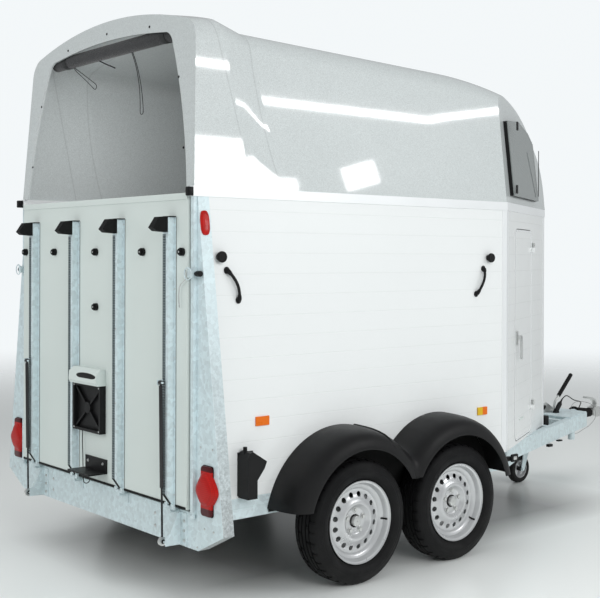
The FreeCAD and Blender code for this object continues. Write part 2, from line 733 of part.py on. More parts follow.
# rubber-sprung axles: a tube under the rails, a trailing arm and a stub at each end
axle_ahead = 150.0
axle_z = 336.0
arm_inset = 83.0
arm_t = 40.0
arm_y = (half_width - arm_inset, half_width - arm_inset + arm_t)
for end, x in wheel_x.items():
    ax = x + axle_ahead
    hexagon = [(ax + 58 * math.cos(math.radians(a)), axle_z + 58 * math.sin(math.radians(a)))
               for a in range(0, 360, 60)]
    pieces = [prism_y(hexagon, -arm_y[0], arm_y[0])]
    arm = [(x - 30, tyre_r - 34), (x - 30, tyre_r + 34), (ax + 20, axle_z + 44),
           (ax + 44, axle_z), (ax + 20, axle_z - 44)]
    end_piece = [prism_y(arm, arm_y[0], arm_y[1]),
                 rod_y(x, tyre_r, arm_y[1], rim_edge_y - 119, 30),
                 rod_y(x, tyre_r, arm_y[1], rim_edge_y - 51, spindle_r),
                 box(ax - 60, ax + 60, rail_outer_y - rail_w, rail_outer_y, axle_z + 40, rail_low)]
    for piece in end_piece:
        pieces += both(piece)
    save("axle_" + end, fused(pieces))

# mudguards: a rounded section turned about each wheel, joined half way between them
guard_end_z = 415.0
guard_t = 4.0
guard_lip_r = 376.0
guard_section = [(half_width + 0.3, 468), (half_width + 110, 464), (half_width + 175, 448),
                 (half_width + 211, 420), (half_width + 225, guard_lip_r)]
guard_y = (-half_width - 325, -half_width + 75)


def guard_hump(x, inset):
    line = [(y - inset * (i > 0), r - inset * 1.2) for i, (y, r) in enumerate(guard_section)]
    if inset:
        line = [(half_width - 20, line[0][1])] + line[1:]
        line[-1] = (line[-1][0], 300)
    inner = (half_width - 20) if inset else half_width + 0.3
    points = [(x, -y, tyre_r + r) for y, r in line]
    points += [(x, -line[-1][0], tyre_r), (x, -inner, tyre_r)]
    return turned(points, (x, 0, tyre_r), (0, 1, 0))


def guard(inset):
    low = guard_end_z - 2 * inset
    rear = guard_hump(wheel_x["rear"], inset).common(
        box(wheel_x["rear"] - 600, wheel_centre, *guard_y, low, 900))
    front = guard_hump(wheel_x["front"], inset).common(
        box(wheel_centre, wheel_x["front"] + 600, *guard_y, low, 900))
    return rear.fuse(front)


lip_cut = fused([rod_y(x, tyre_r, *guard_y, guard_lip_r) for x in wheel_x.values()])
mudguard = guard(0).cut(guard(guard_t)).cut(lip_cut)
apron_cut = box(wheel_centre - 60, wheel_centre + 60, *guard_y, guard_end_z - 115,
                guard_end_z + 75)
save("mudguards", *both(mudguard.cut(apron_cut)))

# lamps and reflectors
lamp_y = -half_width - 82.0
lamp_z = 575.0
lamp_body = [(-49, 108), (-40, 119), (40, 119), (49, 108), (49, -108), (40, -119), (-40, -119),
             (-49, -108)]
lens = [(0, 96), (40, 78), (70, 26), (76, 4), (66, -30), (40, -80), (0, -92), (-40, -80),
        (-66, -30), (-76, 4), (-70, 26), (-40, 78)]
lens_rings = [[(x, lamp_y + k * y, lamp_z + k * z) for y, z in lens]
              for x, k in ((frame_x, 1.0), (frame_x - 14, 0.97), (frame_x - 32, 0.62))]
tail = fused([prism_x([(lamp_y + y, lamp_z + z) for y, z in lamp_body], frame_x - 13, frame_x),
              solid_between(*lens_rings[:2]), solid_between(*lens_rings[1:])])


def slanted(z):
    """Half width of the posts' outer edge at a height."""
    return post_top_y + (belt_low - z) * (post_foot_y - post_top_y) / (belt_low - post_foot_z)


marker_x = frame_x + 0.44 * post_flange
marker_z = belt_low - 122.0
oval = [(-14, -60), (14, -60), (25, -30), (25, 30), (14, 60), (-14, 60), (-25, 30), (-25, -30)]
marker = prism_y([(marker_x + dx, marker_z + dz) for dx, dz in oval], -half_width - 125,
                 -half_width + 75)
marker_zs = (marker_z - 90, marker_z + 90)
wedge = prism_x([(-slanted(marker_zs[0]) - 10, marker_zs[0]),
                 (-slanted(marker_zs[1]) - 10, marker_zs[1]),
                 (-slanted(marker_zs[1]), marker_zs[1]), (-slanted(marker_zs[0]), marker_zs[0])],
                frame_x, frame_x + post_flange)
save("rear_lamps", *both(tail), *both(marker.common(wedge)))
reflectors = [box(x - 40, x + 40, -half_width - 8, -half_width, z - 22, z + 22)
              for x, z in ((408, 843), (side_length - 217, 750))]
save("side_reflectors", *both(reflectors[0]), *both(reflectors[1]))


# fittings on the side walls: round knobs, curved grab handles, end caps and latch knobs
def grab(x_top, x_low, z_top, z_low):
    run = V(x_low - x_top, 0, z_low - z_top)
    length = run.Length
    outline = [(0, 0), (0, 18), (26, 30), (length - 26, 30), (length, 18), (length, 0),
               (length - 34, 0), (length - 40, 14), (40, 14), (34, 0)]
    shape = Part.Face(Part.makePolygon([V(a, -b, 0) for a, b in outline + outline[:1]]))
    shape = shape.extrude(V(0, 0, 26))
    shape.translate(V(0, 0, -13))
    turn = math.degrees(math.atan2(-run.z, run.x))
    shape.rotate(V(0, 0, 0), V(0, 1, 0), turn)
    shape.translate(V(x_top, -half_width, z_top))
    return shape


handles = [grab(193, 262, 1568, 1427), grab(side_length - 213, side_length - 273, 1568, 1424)]
knobs = [fused([rod_y(x, z, -half_width, -half_width - 18, 16),
                rod_y(x, z, -half_width - 18, -half_width - 36, 27)])
         for x, z in ((150, 1631), (side_length - 168, 1630))]
caps = [box(belt_from - belt_cap, belt_from, -half_width - belt_proud - 2,
            -half_width + wall_t - 5, belt_low + 2, belt_high - 5)]
latch_knob = [fused([rod_y(frame_x - 15, latch_z, strip_y - 10, strip_y - 22, 9),
                     rod_y(frame_x - 15, latch_z, strip_y - 22, strip_y - 52, 13.5)])]
arm_x = side_length - 27.0
side_marker = [fused([box(arm_x, arm_x + 60, -half_width - 22, -half_width, 436, 462),
                      box(arm_x + 40, arm_x + 100, -half_width - 34, -half_width - 22, 430, 476)])]
save("wall_fittings", *[shape for one in handles + knobs + caps + latch_knob + side_marker
                        for shape in both(one)])
# The chocks hang on the walls, half way between the rear posts and the mudguards.
chock_x = (frame_x + post_flange + wheel_x["rear"] - guard_section[0][1]) / 2
chock_out = 86.0
chock_side = [(0, 494), (0, 690), (12, 712), (30, 716), (112, 664), (98, 632), (56, 580), (56, 494)]
chock = prism_y([(chock_x + x, z) for x, z in chock_side], -half_width - chock_out, -half_width - 8)
chock_plate = box(chock_x, chock_x + 88, -half_width - 8, -half_width, 500, 706)
chock_knob = rod((chock_x + 16, -half_width - 40, 700), (chock_x + 16, -half_width - 40, 736), 10)
save("wheel_chocks", *both(fused([chock, chock_plate, chock_knob])))

# overrun device: deck plate on the rails, tube, parking plate for the brake lever
deck_from = drawbar_end_x - 350.0
deck_t = 6.0
deck_top = rail_high + deck_t
deck = across(deck_from, drawbar_end_x, 8, rail_high, deck_top)
web = box(deck_from + 30, drawbar_end_x, -52, 52, tow_z - 60, rail_high)
front_plate = prism_x([(-drawbar_end_y + 10, deck_top), (drawbar_end_y - 10, deck_top),
                       (drawbar_end_y - 10, rail_low + 60), (70, rail_low + 6),
                       (-70, rail_low + 6), (-drawbar_end_y + 10, rail_low + 60)],
                      drawbar_end_x, drawbar_end_x + 8)
nose_tube = rod((deck_from + 30, 0, tow_z), (gaiter_from, 0, tow_z), tow_r)
gland = rod((drawbar_end_x + 8, -105, 428), (drawbar_end_x + 18, -105, 428), 8)
save("overrun_housing", fused([deck, web, front_plate, nose_tube, gland]))

folds = 6
fold_pitch = (gaiter_run - 40) / folds
gaiter_profile = [(gaiter_from, 0), (gaiter_from, 60), (gaiter_from + 8, 60), (gaiter_from + 8, 54)]
for i in range(folds):
    x = gaiter_from + 12 + fold_pitch * i
    crest = 54 - 20 * i / folds
    gaiter_profile += [(x, crest), (x + fold_pitch / 2, crest - 9)]
gaiter_end = gaiter_from + gaiter_run
gaiter_profile += [(gaiter_end - 26, 34), (gaiter_end, 34), (gaiter_end, 0)]
save("gaiter", turned([(x, 0, tow_z + r) for x, r in gaiter_profile], (0, 0, tow_z), (1, 0, 0)))

# coupling head: a pressed housing over the ball, with its release handle arched above
shank = rod((gaiter_end, 0, tow_z), (coupling_x - 30, 0, tow_z), 27)
shell_side = [(gaiter_end + 16, tow_z - 22), (gaiter_end + 16, tow_z + 34),
              (coupling_x - 60, tow_z + 44), (coupling_x - 6, tow_z + 36),
              (coupling_x + 18, tow_z + 16), (coupling_x + 18, coupling_z - 22),
              (coupling_x - 60, coupling_z - 22)]
shell = prism_y(shell_side, -30, 30)
cup_side = [(0, -22), (head_r, -22), (head_r, 8), (34, 30), (20, 44), (0, 48)]
cup = turned([(coupling_x + r, 0, coupling_z + z) for r, z in cup_side],
             (coupling_x, 0, coupling_z), (0, 0, 1))
handle_line = [(-64, 24), (-40, 60), (-62, 96), (-110, 116), (-176, 124), (-178, 111),
               (-113, 103), (-70, 85), (-54, 60), (-84, 30)]
handle = prism_y([(coupling_x + x, tow_z + z) for x, z in handle_line], -17, 17)
head = shank.fuse(shell).fuse(cup).fuse(handle)
head = head.cut(Part.makeSphere(ball_r + socket_fit, V(coupling_x, 0, coupling_z)))
head = head.cut(rod((coupling_x, 0, coupling_z - 50), (coupling_x, 0, coupling_z),
                    ball_r + socket_fit))
save("coupling_head", head)

# hand brake: a ratchet plate and a lever on the deck, with the parked plug beside them
lever_y = -50.0
lever_at = [(drawbar_end_x - 225, deck_top + 14), (drawbar_end_x - 201, deck_top + 83),
            (drawbar_end_x - 161, deck_top + 117), (drawbar_end_x - 16, deck_top + 259)]
lever = [rod((a[0], lever_y, a[1]), (b[0], lever_y, b[1]), 8)
         for a, b in zip(lever_at[:2], lever_at[1:3])]
lever += [Part.makeSphere(8, V(x, lever_y, z)) for x, z in lever_at[1:3]]
grip = rod((lever_at[2][0], lever_y, lever_at[2][1]), (lever_at[3][0], lever_y, lever_at[3][1]), 14)
grip_tip = Part.makeSphere(14, V(lever_at[3][0], lever_y, lever_at[3][1]))
quadrant = prism_y([(deck_from + 8, deck_top), (deck_from + 8, deck_top + 60),
                    (deck_from + 60, deck_top + 78), (deck_from + 130, deck_top + 40),
                    (deck_from + 150, deck_top)], lever_y + 12, lever_y + 18)
pivot = rod_y(lever_at[0][0], lever_at[0][1], lever_y - 12, lever_y + 18, 13)
save("handbrake_lever", fused(lever + [grip, grip_tip, quadrant, pivot]))

plug_y = -80.0
plug_r = 17.0
plug_base = V(drawbar_end_x - 226, plug_y, deck_top + 16)
plug_dir = V(0.66, 0, 0.751)
plug_dir.normalize()
plug_tip = plug_base + plug_dir * 84
plug = fused([Part.makeCylinder(plug_r, 62, plug_base, plug_dir),
              Part.makeCone(plug_r, 7, 22, plug_base + plug_dir * 62, plug_dir),
              Part.makeSphere(plug_r - 2, plug_base)])
plug_seat = box(plug_base.x - 22, plug_base.x + 16, plug_y - 14, plug_y + 14, deck_top,
                deck_top + 16)
save("trailer_plug", fused([plug, plug_seat]))

# a black sleeve and two cable brackets under the right rail
sleeve_x = nose_x + 440.0
sleeve_y = -rail_y(sleeve_x, rail_w / 2)
sleeve = fused([rod((sleeve_x, sleeve_y, rail_low - 57), (sleeve_x, sleeve_y, rail_low), 24),
                rod((sleeve_x, -260, 366), (drawbar_end_x - 258, -260, 366), 5)])

jockey_axle_x = jockey_x - jockey_trail
jockey_plate = across(jockey_x - 26, jockey_x + 26, rail_w + seat_gap, rail_low + 52, rail_high - 2)
tube_outer = rod((jockey_x, jockey_y, 300), (jockey_x, jockey_y, 720), jockey_tube_r)
tube_bore = rod((jockey_x, jockey_y, 290), (jockey_x, jockey_y, 700), jockey_inner_r + 0.2)
crank = fused([rod((jockey_x, jockey_y, 720), (jockey_x, jockey_y, 745), 10),
               box(jockey_x - 10, jockey_x + 90, jockey_y - 8, jockey_y + 8, 735, 745),
               rod((jockey_x + 82, jockey_y, 745), (jockey_x + 82, jockey_y, 815), 11)])
clamp = fused([box(jockey_x - 42, jockey_x + 42, jockey_y - 40, jockey_y + 40, rail_low + 52,
                   rail_high + 30),
               rod_y(jockey_x, rail_high + 12, jockey_y + 30, jockey_y + 62, 8)])
save("jockey_mount", fused([jockey_plate, clamp, tube_outer, crank]).cut(tube_bore), sleeve)
fork_top = 232.0
legs = [prism_y([(jockey_x - 30, fork_top), (jockey_x + 30, fork_top),
                 (jockey_axle_x + 16, jockey_r - 14), (jockey_axle_x - 16, jockey_r - 14)],
                jockey_y + s - 3, jockey_y + s + 3) for s in (-40, 40)]
bridge = box(jockey_x - 30, jockey_x + 30, jockey_y - 43, jockey_y + 43, fork_top, fork_top + 8)
inner_tube = rod((jockey_x, jockey_y, fork_top), (jockey_x, jockey_y, 640), jockey_inner_r)
axle_pin = rod_y(jockey_axle_x, jockey_r, jockey_y - 50, jockey_y + 50, 8)
save("jockey_fork", fused(legs + [bridge, inner_tube, axle_pin]))
wheel_pts = [(-30, 30), (-22, 84), (-30, 90), (-22, jockey_r), (22, jockey_r), (30, 90), (22, 84),
             (30, 30), (30, 8.06), (-30, 8.06)]
save("jockey_wheel", turned([(jockey_axle_x, jockey_y + a, jockey_r + r) for a, r in wheel_pts],
                            (jockey_axle_x, 0, jockey_r), (0, 1, 0)))

# inside: the partition between the stalls and the padded bars
part_x = (420.0, side_length - 17.0)
board_z = (wall_low + 152, belt_low - 209)
post_z = (wall_low + floor_t + mat_t, belt_low - 40)
partition = fused([box(*part_x, -16, 16, *board_z),
                   box(part_x[0], part_x[0] + 40, -20, 20, *post_z),
                   box(part_x[1] - 40, part_x[1], -20, 20, *post_z)])
save("partition", partition)
bars = []
for x, z in ((part_x[0] + 20, 1150), (part_x[1] - 20, 1250)):
    bars += both(rod_y(x, z, 20.5, half_width - wall_t, 28))
save("stall_bars", *bars)
roll_r = 38.0
roll_at = (108.0, crown_rear - 141.0)
roll_half = half_width - 235.0
hanger_y = half_width - 375.0
hangers = [box(roll_at[0] - 4, roll_at[0] + 4, y - 20, y + 20, roll_at[1] + 20, crown_rear)
           for y in (-hanger_y, hanger_y)]
under_roof = hood_solid(hood_t + 0.3)
save("rolled_blind", fused([rod_y(*roll_at, -roll_half, roll_half, roll_r)]
                           + [h.common(under_roof) for h in hangers]))


# cords: straight runs between the points of a route, joined by tangent arcs
def tube(name, route, diameter):
    points = [V(*p) for p in route]
    edges = []
    radii = []
    start = points[0]
    for before, at, after in zip(points, points[1:], points[2:]):
        into, out = at - before, after - at
        half_turn = into.getAngle(out) / 2
        trim = 0.45 * min(into.Length, out.Length)
        radius = trim / math.tan(half_turn)
        into.normalize()
        out.normalize()
        inward = out - into
        inward.normalize()
        first, last = at - into * trim, at + out * trim
        middle = at + inward * (radius / math.cos(half_turn) - radius)
        edges.append(Part.LineSegment(start, first).toShape())
        edges.append(Part.Arc(first, middle, last).toShape())
        radii.append(radius)
        start = last
    edges.append(Part.LineSegment(start, points[-1]).toShape())
    path = Part.Wire(edges)
    ring = Part.Wire(Part.makeCircle(diameter / 2, points[0], points[1] - points[0]))
    print(name, "radii", [round(r) for r in radii], "length", round(path.Length))
    return path.makePipeShell([ring], True, False)


def from_drawbar(route):
    return [(drawbar_end_x + ahead, y, z) for ahead, y, z in route]


plug_route = [tuple(plug_tip)] + from_drawbar([
    (-150.6, -80, 595.8), (-106.3, -77.5, 614), (-56.1, -71.3, 597.1), (-8.3, -60.8, 575.5),
    (41.2, -46.1, 561.1), (92.2, -33.6, 550.7), (143.5, -22.7, 539.5), (188.8, 1, 525),
    (220, 35.6, 499.5), (232.3, 61, 455.1), (217.8, 55.6, 405.2), (189.8, 22.9, 375), (159.5, -20.7, 370.1),
    (128.3, -62.2, 382.1), (91.7, -92.2, 406.7), (48.3, -105, 428), (18, -105, 428)])
save("plug_cable", tube("plug_cable", plug_route, 8.0))
breakaway_route = from_drawbar([
    (-28, -64, 494), (-28, -64, 520.4), (3.3, -67.3, 548.1), (51.9, -66.3, 552.8),
    (100.7, -63, 549.5), (148.7, -58, 541.2), (196.4, -53.1, 530.7), (243.2, -51.1, 516.6),
    (272.3, -62.3, 482.9), (257.3, -84.1, 442.5), (221.4, -102.3, 415.1), (177.3, -117.3, 400.2),
    (131.9, -133.4, 390.7), (86.7, -151.2, 384.3), (41.4, -169.6, 380.5), (-4.3, -187.4, 378.7),
    (-50.4, -204, 377.9), (-96.6, -220.2, 376.4), (-142.7, -236.6, 372.7),
    (-189.2, -251.4, 367.8), (-231.6, -260, 366), (-258, -260, 366)])
save("breakaway_cable", tube("breakaway_cable", breakaway_route, 3.0))
lamp_route = [(-16, 112, 722), (-16, 112, 700), (-17, 112.8, 664), (-15.8, 111.9, 626),
              (-15.1, 110.2, 588), (-15.6, 108.3, 549), (-16.9, 104.6, 511), (-18.3, 99.8, 474),
              (-18.5, 97, 450.2), (-8.7, 95.5, 440.4), (5.1, 94, 440.4), (14.9, 92.5, 450.2),
              (14.9, 92, 464)]
save("lamp_cable", tube("lamp_cable", lamp_route, 5.0))
long_loop = [(108, -165, 2678), (110.8, -190.4, 2629), (109.8, -214.1, 2577), (109, -231.5, 2525),
             (108.5, -242.4, 2473), (108.1, -247.5, 2421), (108, -248.2, 2383),
             (108, -247.8, 2359.9), (108, -256.7, 2351), (108, -269.3, 2351),
             (108, -278.2, 2359.9), (108, -276.6, 2383), (108.1, -271.9, 2421),
             (108.5, -261.6, 2473), (109, -246.3, 2525), (109.8, -226.1, 2577),
             (110.8, -200.4, 2629), (108, -175, 2678)]
short_loop = [(108, 449, 2678), (106, 420, 2654), (111, 377.1, 2627.3), (115.5, 334.6, 2599.2),
              (119.5, 292.4, 2570.1), (122, 261.5, 2549.4), (123.5, 242.7, 2535),
              (124, 230.4, 2537.7), (124, 223.6, 2548.3), (123.5, 226.3, 2560.6),
              (122, 246.2, 2572.1), (119.5, 279.2, 2590.6), (115.5, 324.2, 2615.4),
              (111, 369.1, 2639.8), (106, 413.5, 2664.1), (108, 439, 2678)]
strap = [(108, 165, 2678), (112, 139, 2667), (116, 95, 2649), (119, 49, 2634), (121, 25, 2624)]
save("blind_cords", tube("long_loop", long_loop, 4.0), tube("short_loop", short_loop, 4.0),
     tube("strap", strap, 7.0))
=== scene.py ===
# %% [markdown]
# # A two-horse trailer with a moulded hood
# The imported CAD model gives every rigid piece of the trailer. This notebook adds what the CAD
# leaves out: the free cords, the finishes, the tread, the bolts, the padding, the rolled blind
# and the light of a plain studio.

# %% Load the frame
import bpy
import bmesh
import json
import math
from mathutils import Matrix, Vector


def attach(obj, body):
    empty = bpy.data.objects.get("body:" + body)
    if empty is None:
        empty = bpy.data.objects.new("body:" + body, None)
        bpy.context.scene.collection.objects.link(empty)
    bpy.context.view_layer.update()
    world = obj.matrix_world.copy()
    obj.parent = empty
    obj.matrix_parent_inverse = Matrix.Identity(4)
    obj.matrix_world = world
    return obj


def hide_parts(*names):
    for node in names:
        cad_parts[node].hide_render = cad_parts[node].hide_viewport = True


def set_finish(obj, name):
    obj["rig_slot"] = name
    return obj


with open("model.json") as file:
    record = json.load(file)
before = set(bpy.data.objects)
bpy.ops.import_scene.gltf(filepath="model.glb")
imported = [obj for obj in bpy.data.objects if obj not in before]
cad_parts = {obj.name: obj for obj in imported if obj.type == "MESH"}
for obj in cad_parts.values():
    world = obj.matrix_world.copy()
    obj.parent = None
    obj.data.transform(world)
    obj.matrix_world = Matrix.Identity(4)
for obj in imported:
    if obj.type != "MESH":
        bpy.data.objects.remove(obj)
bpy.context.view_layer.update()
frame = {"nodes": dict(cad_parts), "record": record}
cad = frame["nodes"]
print("the frame has", len(cad), "pieces")

# %% [markdown]
# ## The camera
# The photograph was taken from low behind the right corner, with a long lens held level. A
# camera that is tipped down would make upright edges lean, so the lens is shifted down a little
# instead, as in a camera for buildings.

# %% Set the camera


def linked(name, data):
    """A new object in the scene, from its mesh, curve, camera or lamp data."""
    thing = bpy.data.objects.new(name, data)
    bpy.context.scene.collection.objects.link(thing)
    return thing


camera = linked("camera", bpy.data.cameras.new("camera"))
heading = math.radians(49.97)
camera.location = (-5.0075, -5.047, 1.634)
camera.rotation_euler = (math.radians(90 - 0.15), math.radians(-0.19), heading - math.pi / 2)
camera.data.lens = 65.92
camera.data.sensor_width = 36.0
camera.data.shift_x = -0.0038
camera.data.shift_y = -0.0660
camera.data.clip_end = 60.0
bpy.context.scene.camera = camera
print("camera at", tuple(round(v, 2) for v in camera.location))

# %% [markdown]
# ## Places on the trailer
# The drawing counts millimetres forward from the ramp. One small function turns such a place
# into metres of the scene, and a second one does the same for the slanted right front wall,
# where the door is: along the wall, inward from it, and up. Each place could be worked out by
# hand, but with two rulers the sizes below are those of the drawing.

# %% Two rulers
MIDDLE = 2161.5
SIDE_END = 2227.0
HALF_WIDTH = 875.0
BEVEL = Vector((1033.0, 525.0)).normalized()
REARWARD = Vector((-1, 0, 0))
SIDES = (("right", -1), ("left", 1))
WHEELS = {"rear": 898.0783, "front": 1609.0783}
AXLE_UP = 311
WHEEL_OUT = 975


def at(x, y, z):
    return Vector(((x - MIDDLE) / 1000, y / 1000, z / 1000))


def at_bevel(along, inward, z):
    return at(SIDE_END + BEVEL.x * along - BEVEL.y * inward,
              -HALF_WIDTH + BEVEL.y * along + BEVEL.x * inward, z)


BEVEL_OUT = Vector((BEVEL.y, -BEVEL.x, 0))
print("the origin lies", MIDDLE, "mm ahead of the ramp")

# %% [markdown]
# ## The free cords
# Six cords hang or lie loose: the lighting cable that is plugged into its holder on the
# drawbar, the thin steel breakaway cable under it, the short cable of the plate lamp, and the
# two loops and the strap of the rolled blind. Each one follows the same points as in the
# drawing and takes the place of the plain tube. A tube of mesh would do as well, but a smooth
# curve bends evenly, and its few points can still be moved by hand.

# %% A smooth cord


def lay_cord(name, node, body, route, diameter, slot):
    """A smooth cord along a route of drawing points, in place of its CAD tube."""
    line = bpy.data.curves.new(name, "CURVE")
    line.dimensions = "3D"
    spline = line.splines.new("NURBS")
    spline.points.add(len(route) - 1)
    for point, place in zip(spline.points, route):
        point.co = (*at(*place), 1.0)
    spline.order_u = 3
    spline.use_endpoint_u = True
    line.resolution_u = 8
    line.bevel_depth = diameter / 2000
    line.bevel_resolution = 4
    line.use_fill_caps = True
    piece = linked(name, line)
    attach(piece, body)
    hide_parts(node)
    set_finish(piece, slot)
    return piece


print("ready to lay cords")

# %% Routes of the two drawbar cables
DRAWBAR_END = 3990.0


def from_drawbar(route):
    """Places counted forward from the end of the drawbar."""
    return [(DRAWBAR_END + ahead, y, z) for ahead, y, z in route]


plug_route = from_drawbar([
    (18, -105, 428), (48.3, -105, 428), (91.7, -92.2, 406.7), (128.3, -62.2, 382.1),
    (159.5, -20.7, 370.1), (189.8, 22.9, 375), (217.8, 55.6, 405.2), (232.3, 61, 455.1),
    (220, 35.6, 499.5), (188.8, 1, 525), (143.5, -22.7, 539.5), (92.2, -33.6, 550.7),
    (41.2, -46.1, 561.1), (-8.3, -60.8, 575.5), (-56.1, -71.3, 597.1), (-106.3, -77.5, 614),
    (-150.6, -80, 595.8), (-170.55, -80, 573.09)])
breakaway_route = from_drawbar([
    (-28, -64, 494), (-28, -64, 520.4), (3.3, -67.3, 548.1), (51.9, -66.3, 552.8),
    (100.7, -63, 549.5), (148.7, -58, 541.2), (196.4, -53.1, 530.7), (243.2, -51.1, 516.6),
    (272.3, -62.3, 482.9), (257.3, -84.1, 442.5), (221.4, -102.3, 415.1), (177.3, -117.3, 400.2),
    (131.9, -133.4, 390.7), (86.7, -151.2, 384.3), (41.4, -169.6, 380.5), (-4.3, -187.4, 378.7),
    (-50.4, -204, 377.9), (-96.6, -220.2, 376.4), (-142.7, -236.6, 372.7),
    (-189.2, -251.4, 367.8), (-231.6, -260, 366), (-258, -260, 366)])
print("points:", len(plug_route), "and", len(breakaway_route))

# %% Routes of the plate lamp's cable and of the blind's cords
lamp_route = [
    (-16, 112, 722), (-16, 112, 700), (-17, 112.8, 664), (-15.8, 111.9, 626), (-15.1, 110.2, 588),
    (-15.6, 108.3, 549), (-16.9, 104.6, 511), (-18.3, 99.8, 474), (-18.5, 97, 450.2),
    (-8.7, 95.5, 440.4), (5.1, 94, 440.4), (14.9, 92.5, 450.2), (14.9, 92, 464)]
long_route = [
    (108, -165, 2678), (110.8, -190.4, 2629), (109.8, -214.1, 2577), (109, -231.5, 2525),
    (108.5, -242.4, 2473), (108.1, -247.5, 2421), (108, -248.2, 2383), (108, -247.8, 2359.9),
    (108, -256.7, 2351), (108, -269.3, 2351), (108, -278.2, 2359.9), (108, -276.6, 2383),
    (108.1, -271.9, 2421), (108.5, -261.6, 2473), (109, -246.3, 2525), (109.8, -226.1, 2577),
    (110.8, -200.4, 2629), (108, -175, 2678)]
short_route = [
    (108, 449, 2678), (106, 420, 2654), (111, 377.1, 2627.3), (115.5, 334.6, 2599.2),
    (119.5, 292.4, 2570.1), (122, 261.5, 2549.4), (123.5, 242.7, 2535), (124, 230.4, 2537.7),
    (124, 223.6, 2548.3), (123.5, 226.3, 2560.6), (122, 246.2, 2572.1), (119.5, 279.2, 2590.6),
    (115.5, 324.2, 2615.4), (111, 369.1, 2639.8), (106, 413.5, 2664.1), (108, 439, 2678)]
strap_route = [
    (108, 165, 2678), (112, 139, 2667), (116, 95, 2649), (119, 49, 2634), (121, 25, 2624)]
print("points:", [len(route) for route in (lamp_route, long_route, short_route, strap_route)])

# %% Lay the six cords
plug_cable = lay_cord("lighting_cable", "plug_cable", "trailer", plug_route, 8.0, "cord")
breakaway = lay_cord("breakaway_wire", "breakaway_cable", "trailer", breakaway_route, 3.0,
                     "steel_cable")
lamp_cable = lay_cord("plate_lamp_cable", "lamp_cable", "ramp", lamp_route, 5.0, "cord")
long_loop = lay_cord("long_blind_loop", "blind_cords", "trailer", long_route, 4.0, "cord")
short_loop = lay_cord("short_blind_loop", "blind_cords", "trailer", short_route, 4.0, "cord")
strap = lay_cord("blind_strap", "blind_cords", "trailer", strap_route, 7.0, "cord")
cords = (plug_cable, breakaway, lamp_cable, long_loop, short_loop, strap)
print("cords:", [piece.name for piece in cords])

# %% [markdown]
# ## Selecting and shaping
# Blender's editing commands work on what is selected. A few short helpers deselect everything,
# pick one object, and pick faces by a rule, so that each later step says only what it shapes.
# In the window the faces could be clicked, but a rule finds them again after a size has
# changed.

# %% Select, edit and join


def only(piece):
    """Select this object and nothing else."""
    if bpy.context.object and bpy.context.object.mode != "OBJECT":
        bpy.ops.object.mode_set(mode="OBJECT")
    bpy.ops.object.select_all(action="DESELECT")
    piece.select_set(True)
    bpy.context.view_layer.objects.active = piece


def edit_all(piece):
    """Open a piece for editing, with everything in it selected."""
    only(piece)
    bpy.ops.object.mode_set(mode="EDIT")
    bpy.ops.mesh.select_all(action="SELECT")


def end_edit():
    bpy.ops.object.mode_set(mode="OBJECT")


def pick_faces(piece, rule):
    """While a piece is edited, select the faces that follow a rule, and count them."""
    mesh = bmesh.from_edit_mesh(piece.data)
    for face in mesh.faces:
        face.select_set(False)
    found = [face for face in mesh.faces if rule(face)]
    for face in found:
        face.select_set(True)
    bmesh.update_edit_mesh(piece.data)
    return len(found)


def joined(parts):
    """Join all pieces into the first one."""
    only(parts[0])
    for part in parts[1:]:
        part.select_set(True)
    bpy.ops.object.join()
    return parts[0]


print("ready to select, edit and join")

# %% Edges, surfaces and thickness


def apply_modifiers(piece):
    only(piece)
    for modifier in list(piece.modifiers):
        bpy.ops.object.modifier_apply(modifier=modifier.name)


def smooth(piece, degrees=35):
    """Shade a piece smooth, except where faces meet at more than this angle."""
    only(piece)
    bpy.ops.object.shade_smooth_by_angle(angle=math.radians(degrees))


def rounded(piece, width, segments=2):
    """Break the sharp edges, as a mould or a file does."""
    bevel = piece.modifiers.new("edges", "BEVEL")
    bevel.width = width
    bevel.segments = segments
    bevel.limit_method = "ANGLE"
    bevel.angle_limit = math.radians(40)
    apply_modifiers(piece)
    smooth(piece)


def thickened(piece, thick, offset=0):
    """Give a skin its thickness, in metres, on both sides or on one."""
    shell = piece.modifiers.new("shell", "SOLIDIFY")
    shell.thickness = thick
    shell.offset = offset
    apply_modifiers(piece)


def clean_normals(piece):
    """Merge double points and turn all faces outward."""
    edit_all(piece)
    bpy.ops.mesh.remove_doubles(threshold=0.00002)
    bpy.ops.mesh.normals_make_consistent(inside=False)
    end_edit()


print("ready to round, smooth and thicken")

# %% [markdown]
# ## Turned pieces, plates and copies
# A turned piece starts as a line that is spun round its axle, as on a lathe. A plate is an
# outline that is pushed out to its thickness. Both could be cut from cylinders and cubes, but a
# line shows the real section at a glance. Each finished piece is told which body it moves with,
# which finish it gets and which plain CAD pieces it stands for, if any.

# %% Turn, copy and hand over
made = []


def mesh_piece(name, points, edges=(), faces=()):
    mesh = bpy.data.meshes.new(name)
    mesh.from_pydata(points, edges, faces)
    return linked(name, mesh)


def line_edges(count):
    return [(i, i + 1) for i in range(count - 1)]


def lathe(name, profile, steps):
    """Spin an outline of (along the axle, radius), in millimetres, round the y axis."""
    points = [(0, along / 1000, r / 1000) for along, r in profile]
    piece = mesh_piece(name, points, line_edges(len(points)) + [(len(points) - 1, 0)])
    edit_all(piece)
    bpy.ops.mesh.spin(steps=steps, angle=2 * math.pi, center=(0, 0, 0), axis=(0, 1, 0))
    end_edit()
    clean_normals(piece)
    return piece


def turned(name, profile, steps, move=Matrix.Identity(4), degrees=35):
    """A lathe piece, moved to its place and shaded smooth."""
    piece = lathe(name, profile, steps)
    piece.data.transform(move)
    smooth(piece, degrees)
    return piece


def facing(out, axis="Y", up="Z"):
    """The turn that points one axis of a piece along a direction."""
    return Vector(out).to_track_quat(axis, up).to_matrix().to_4x4()


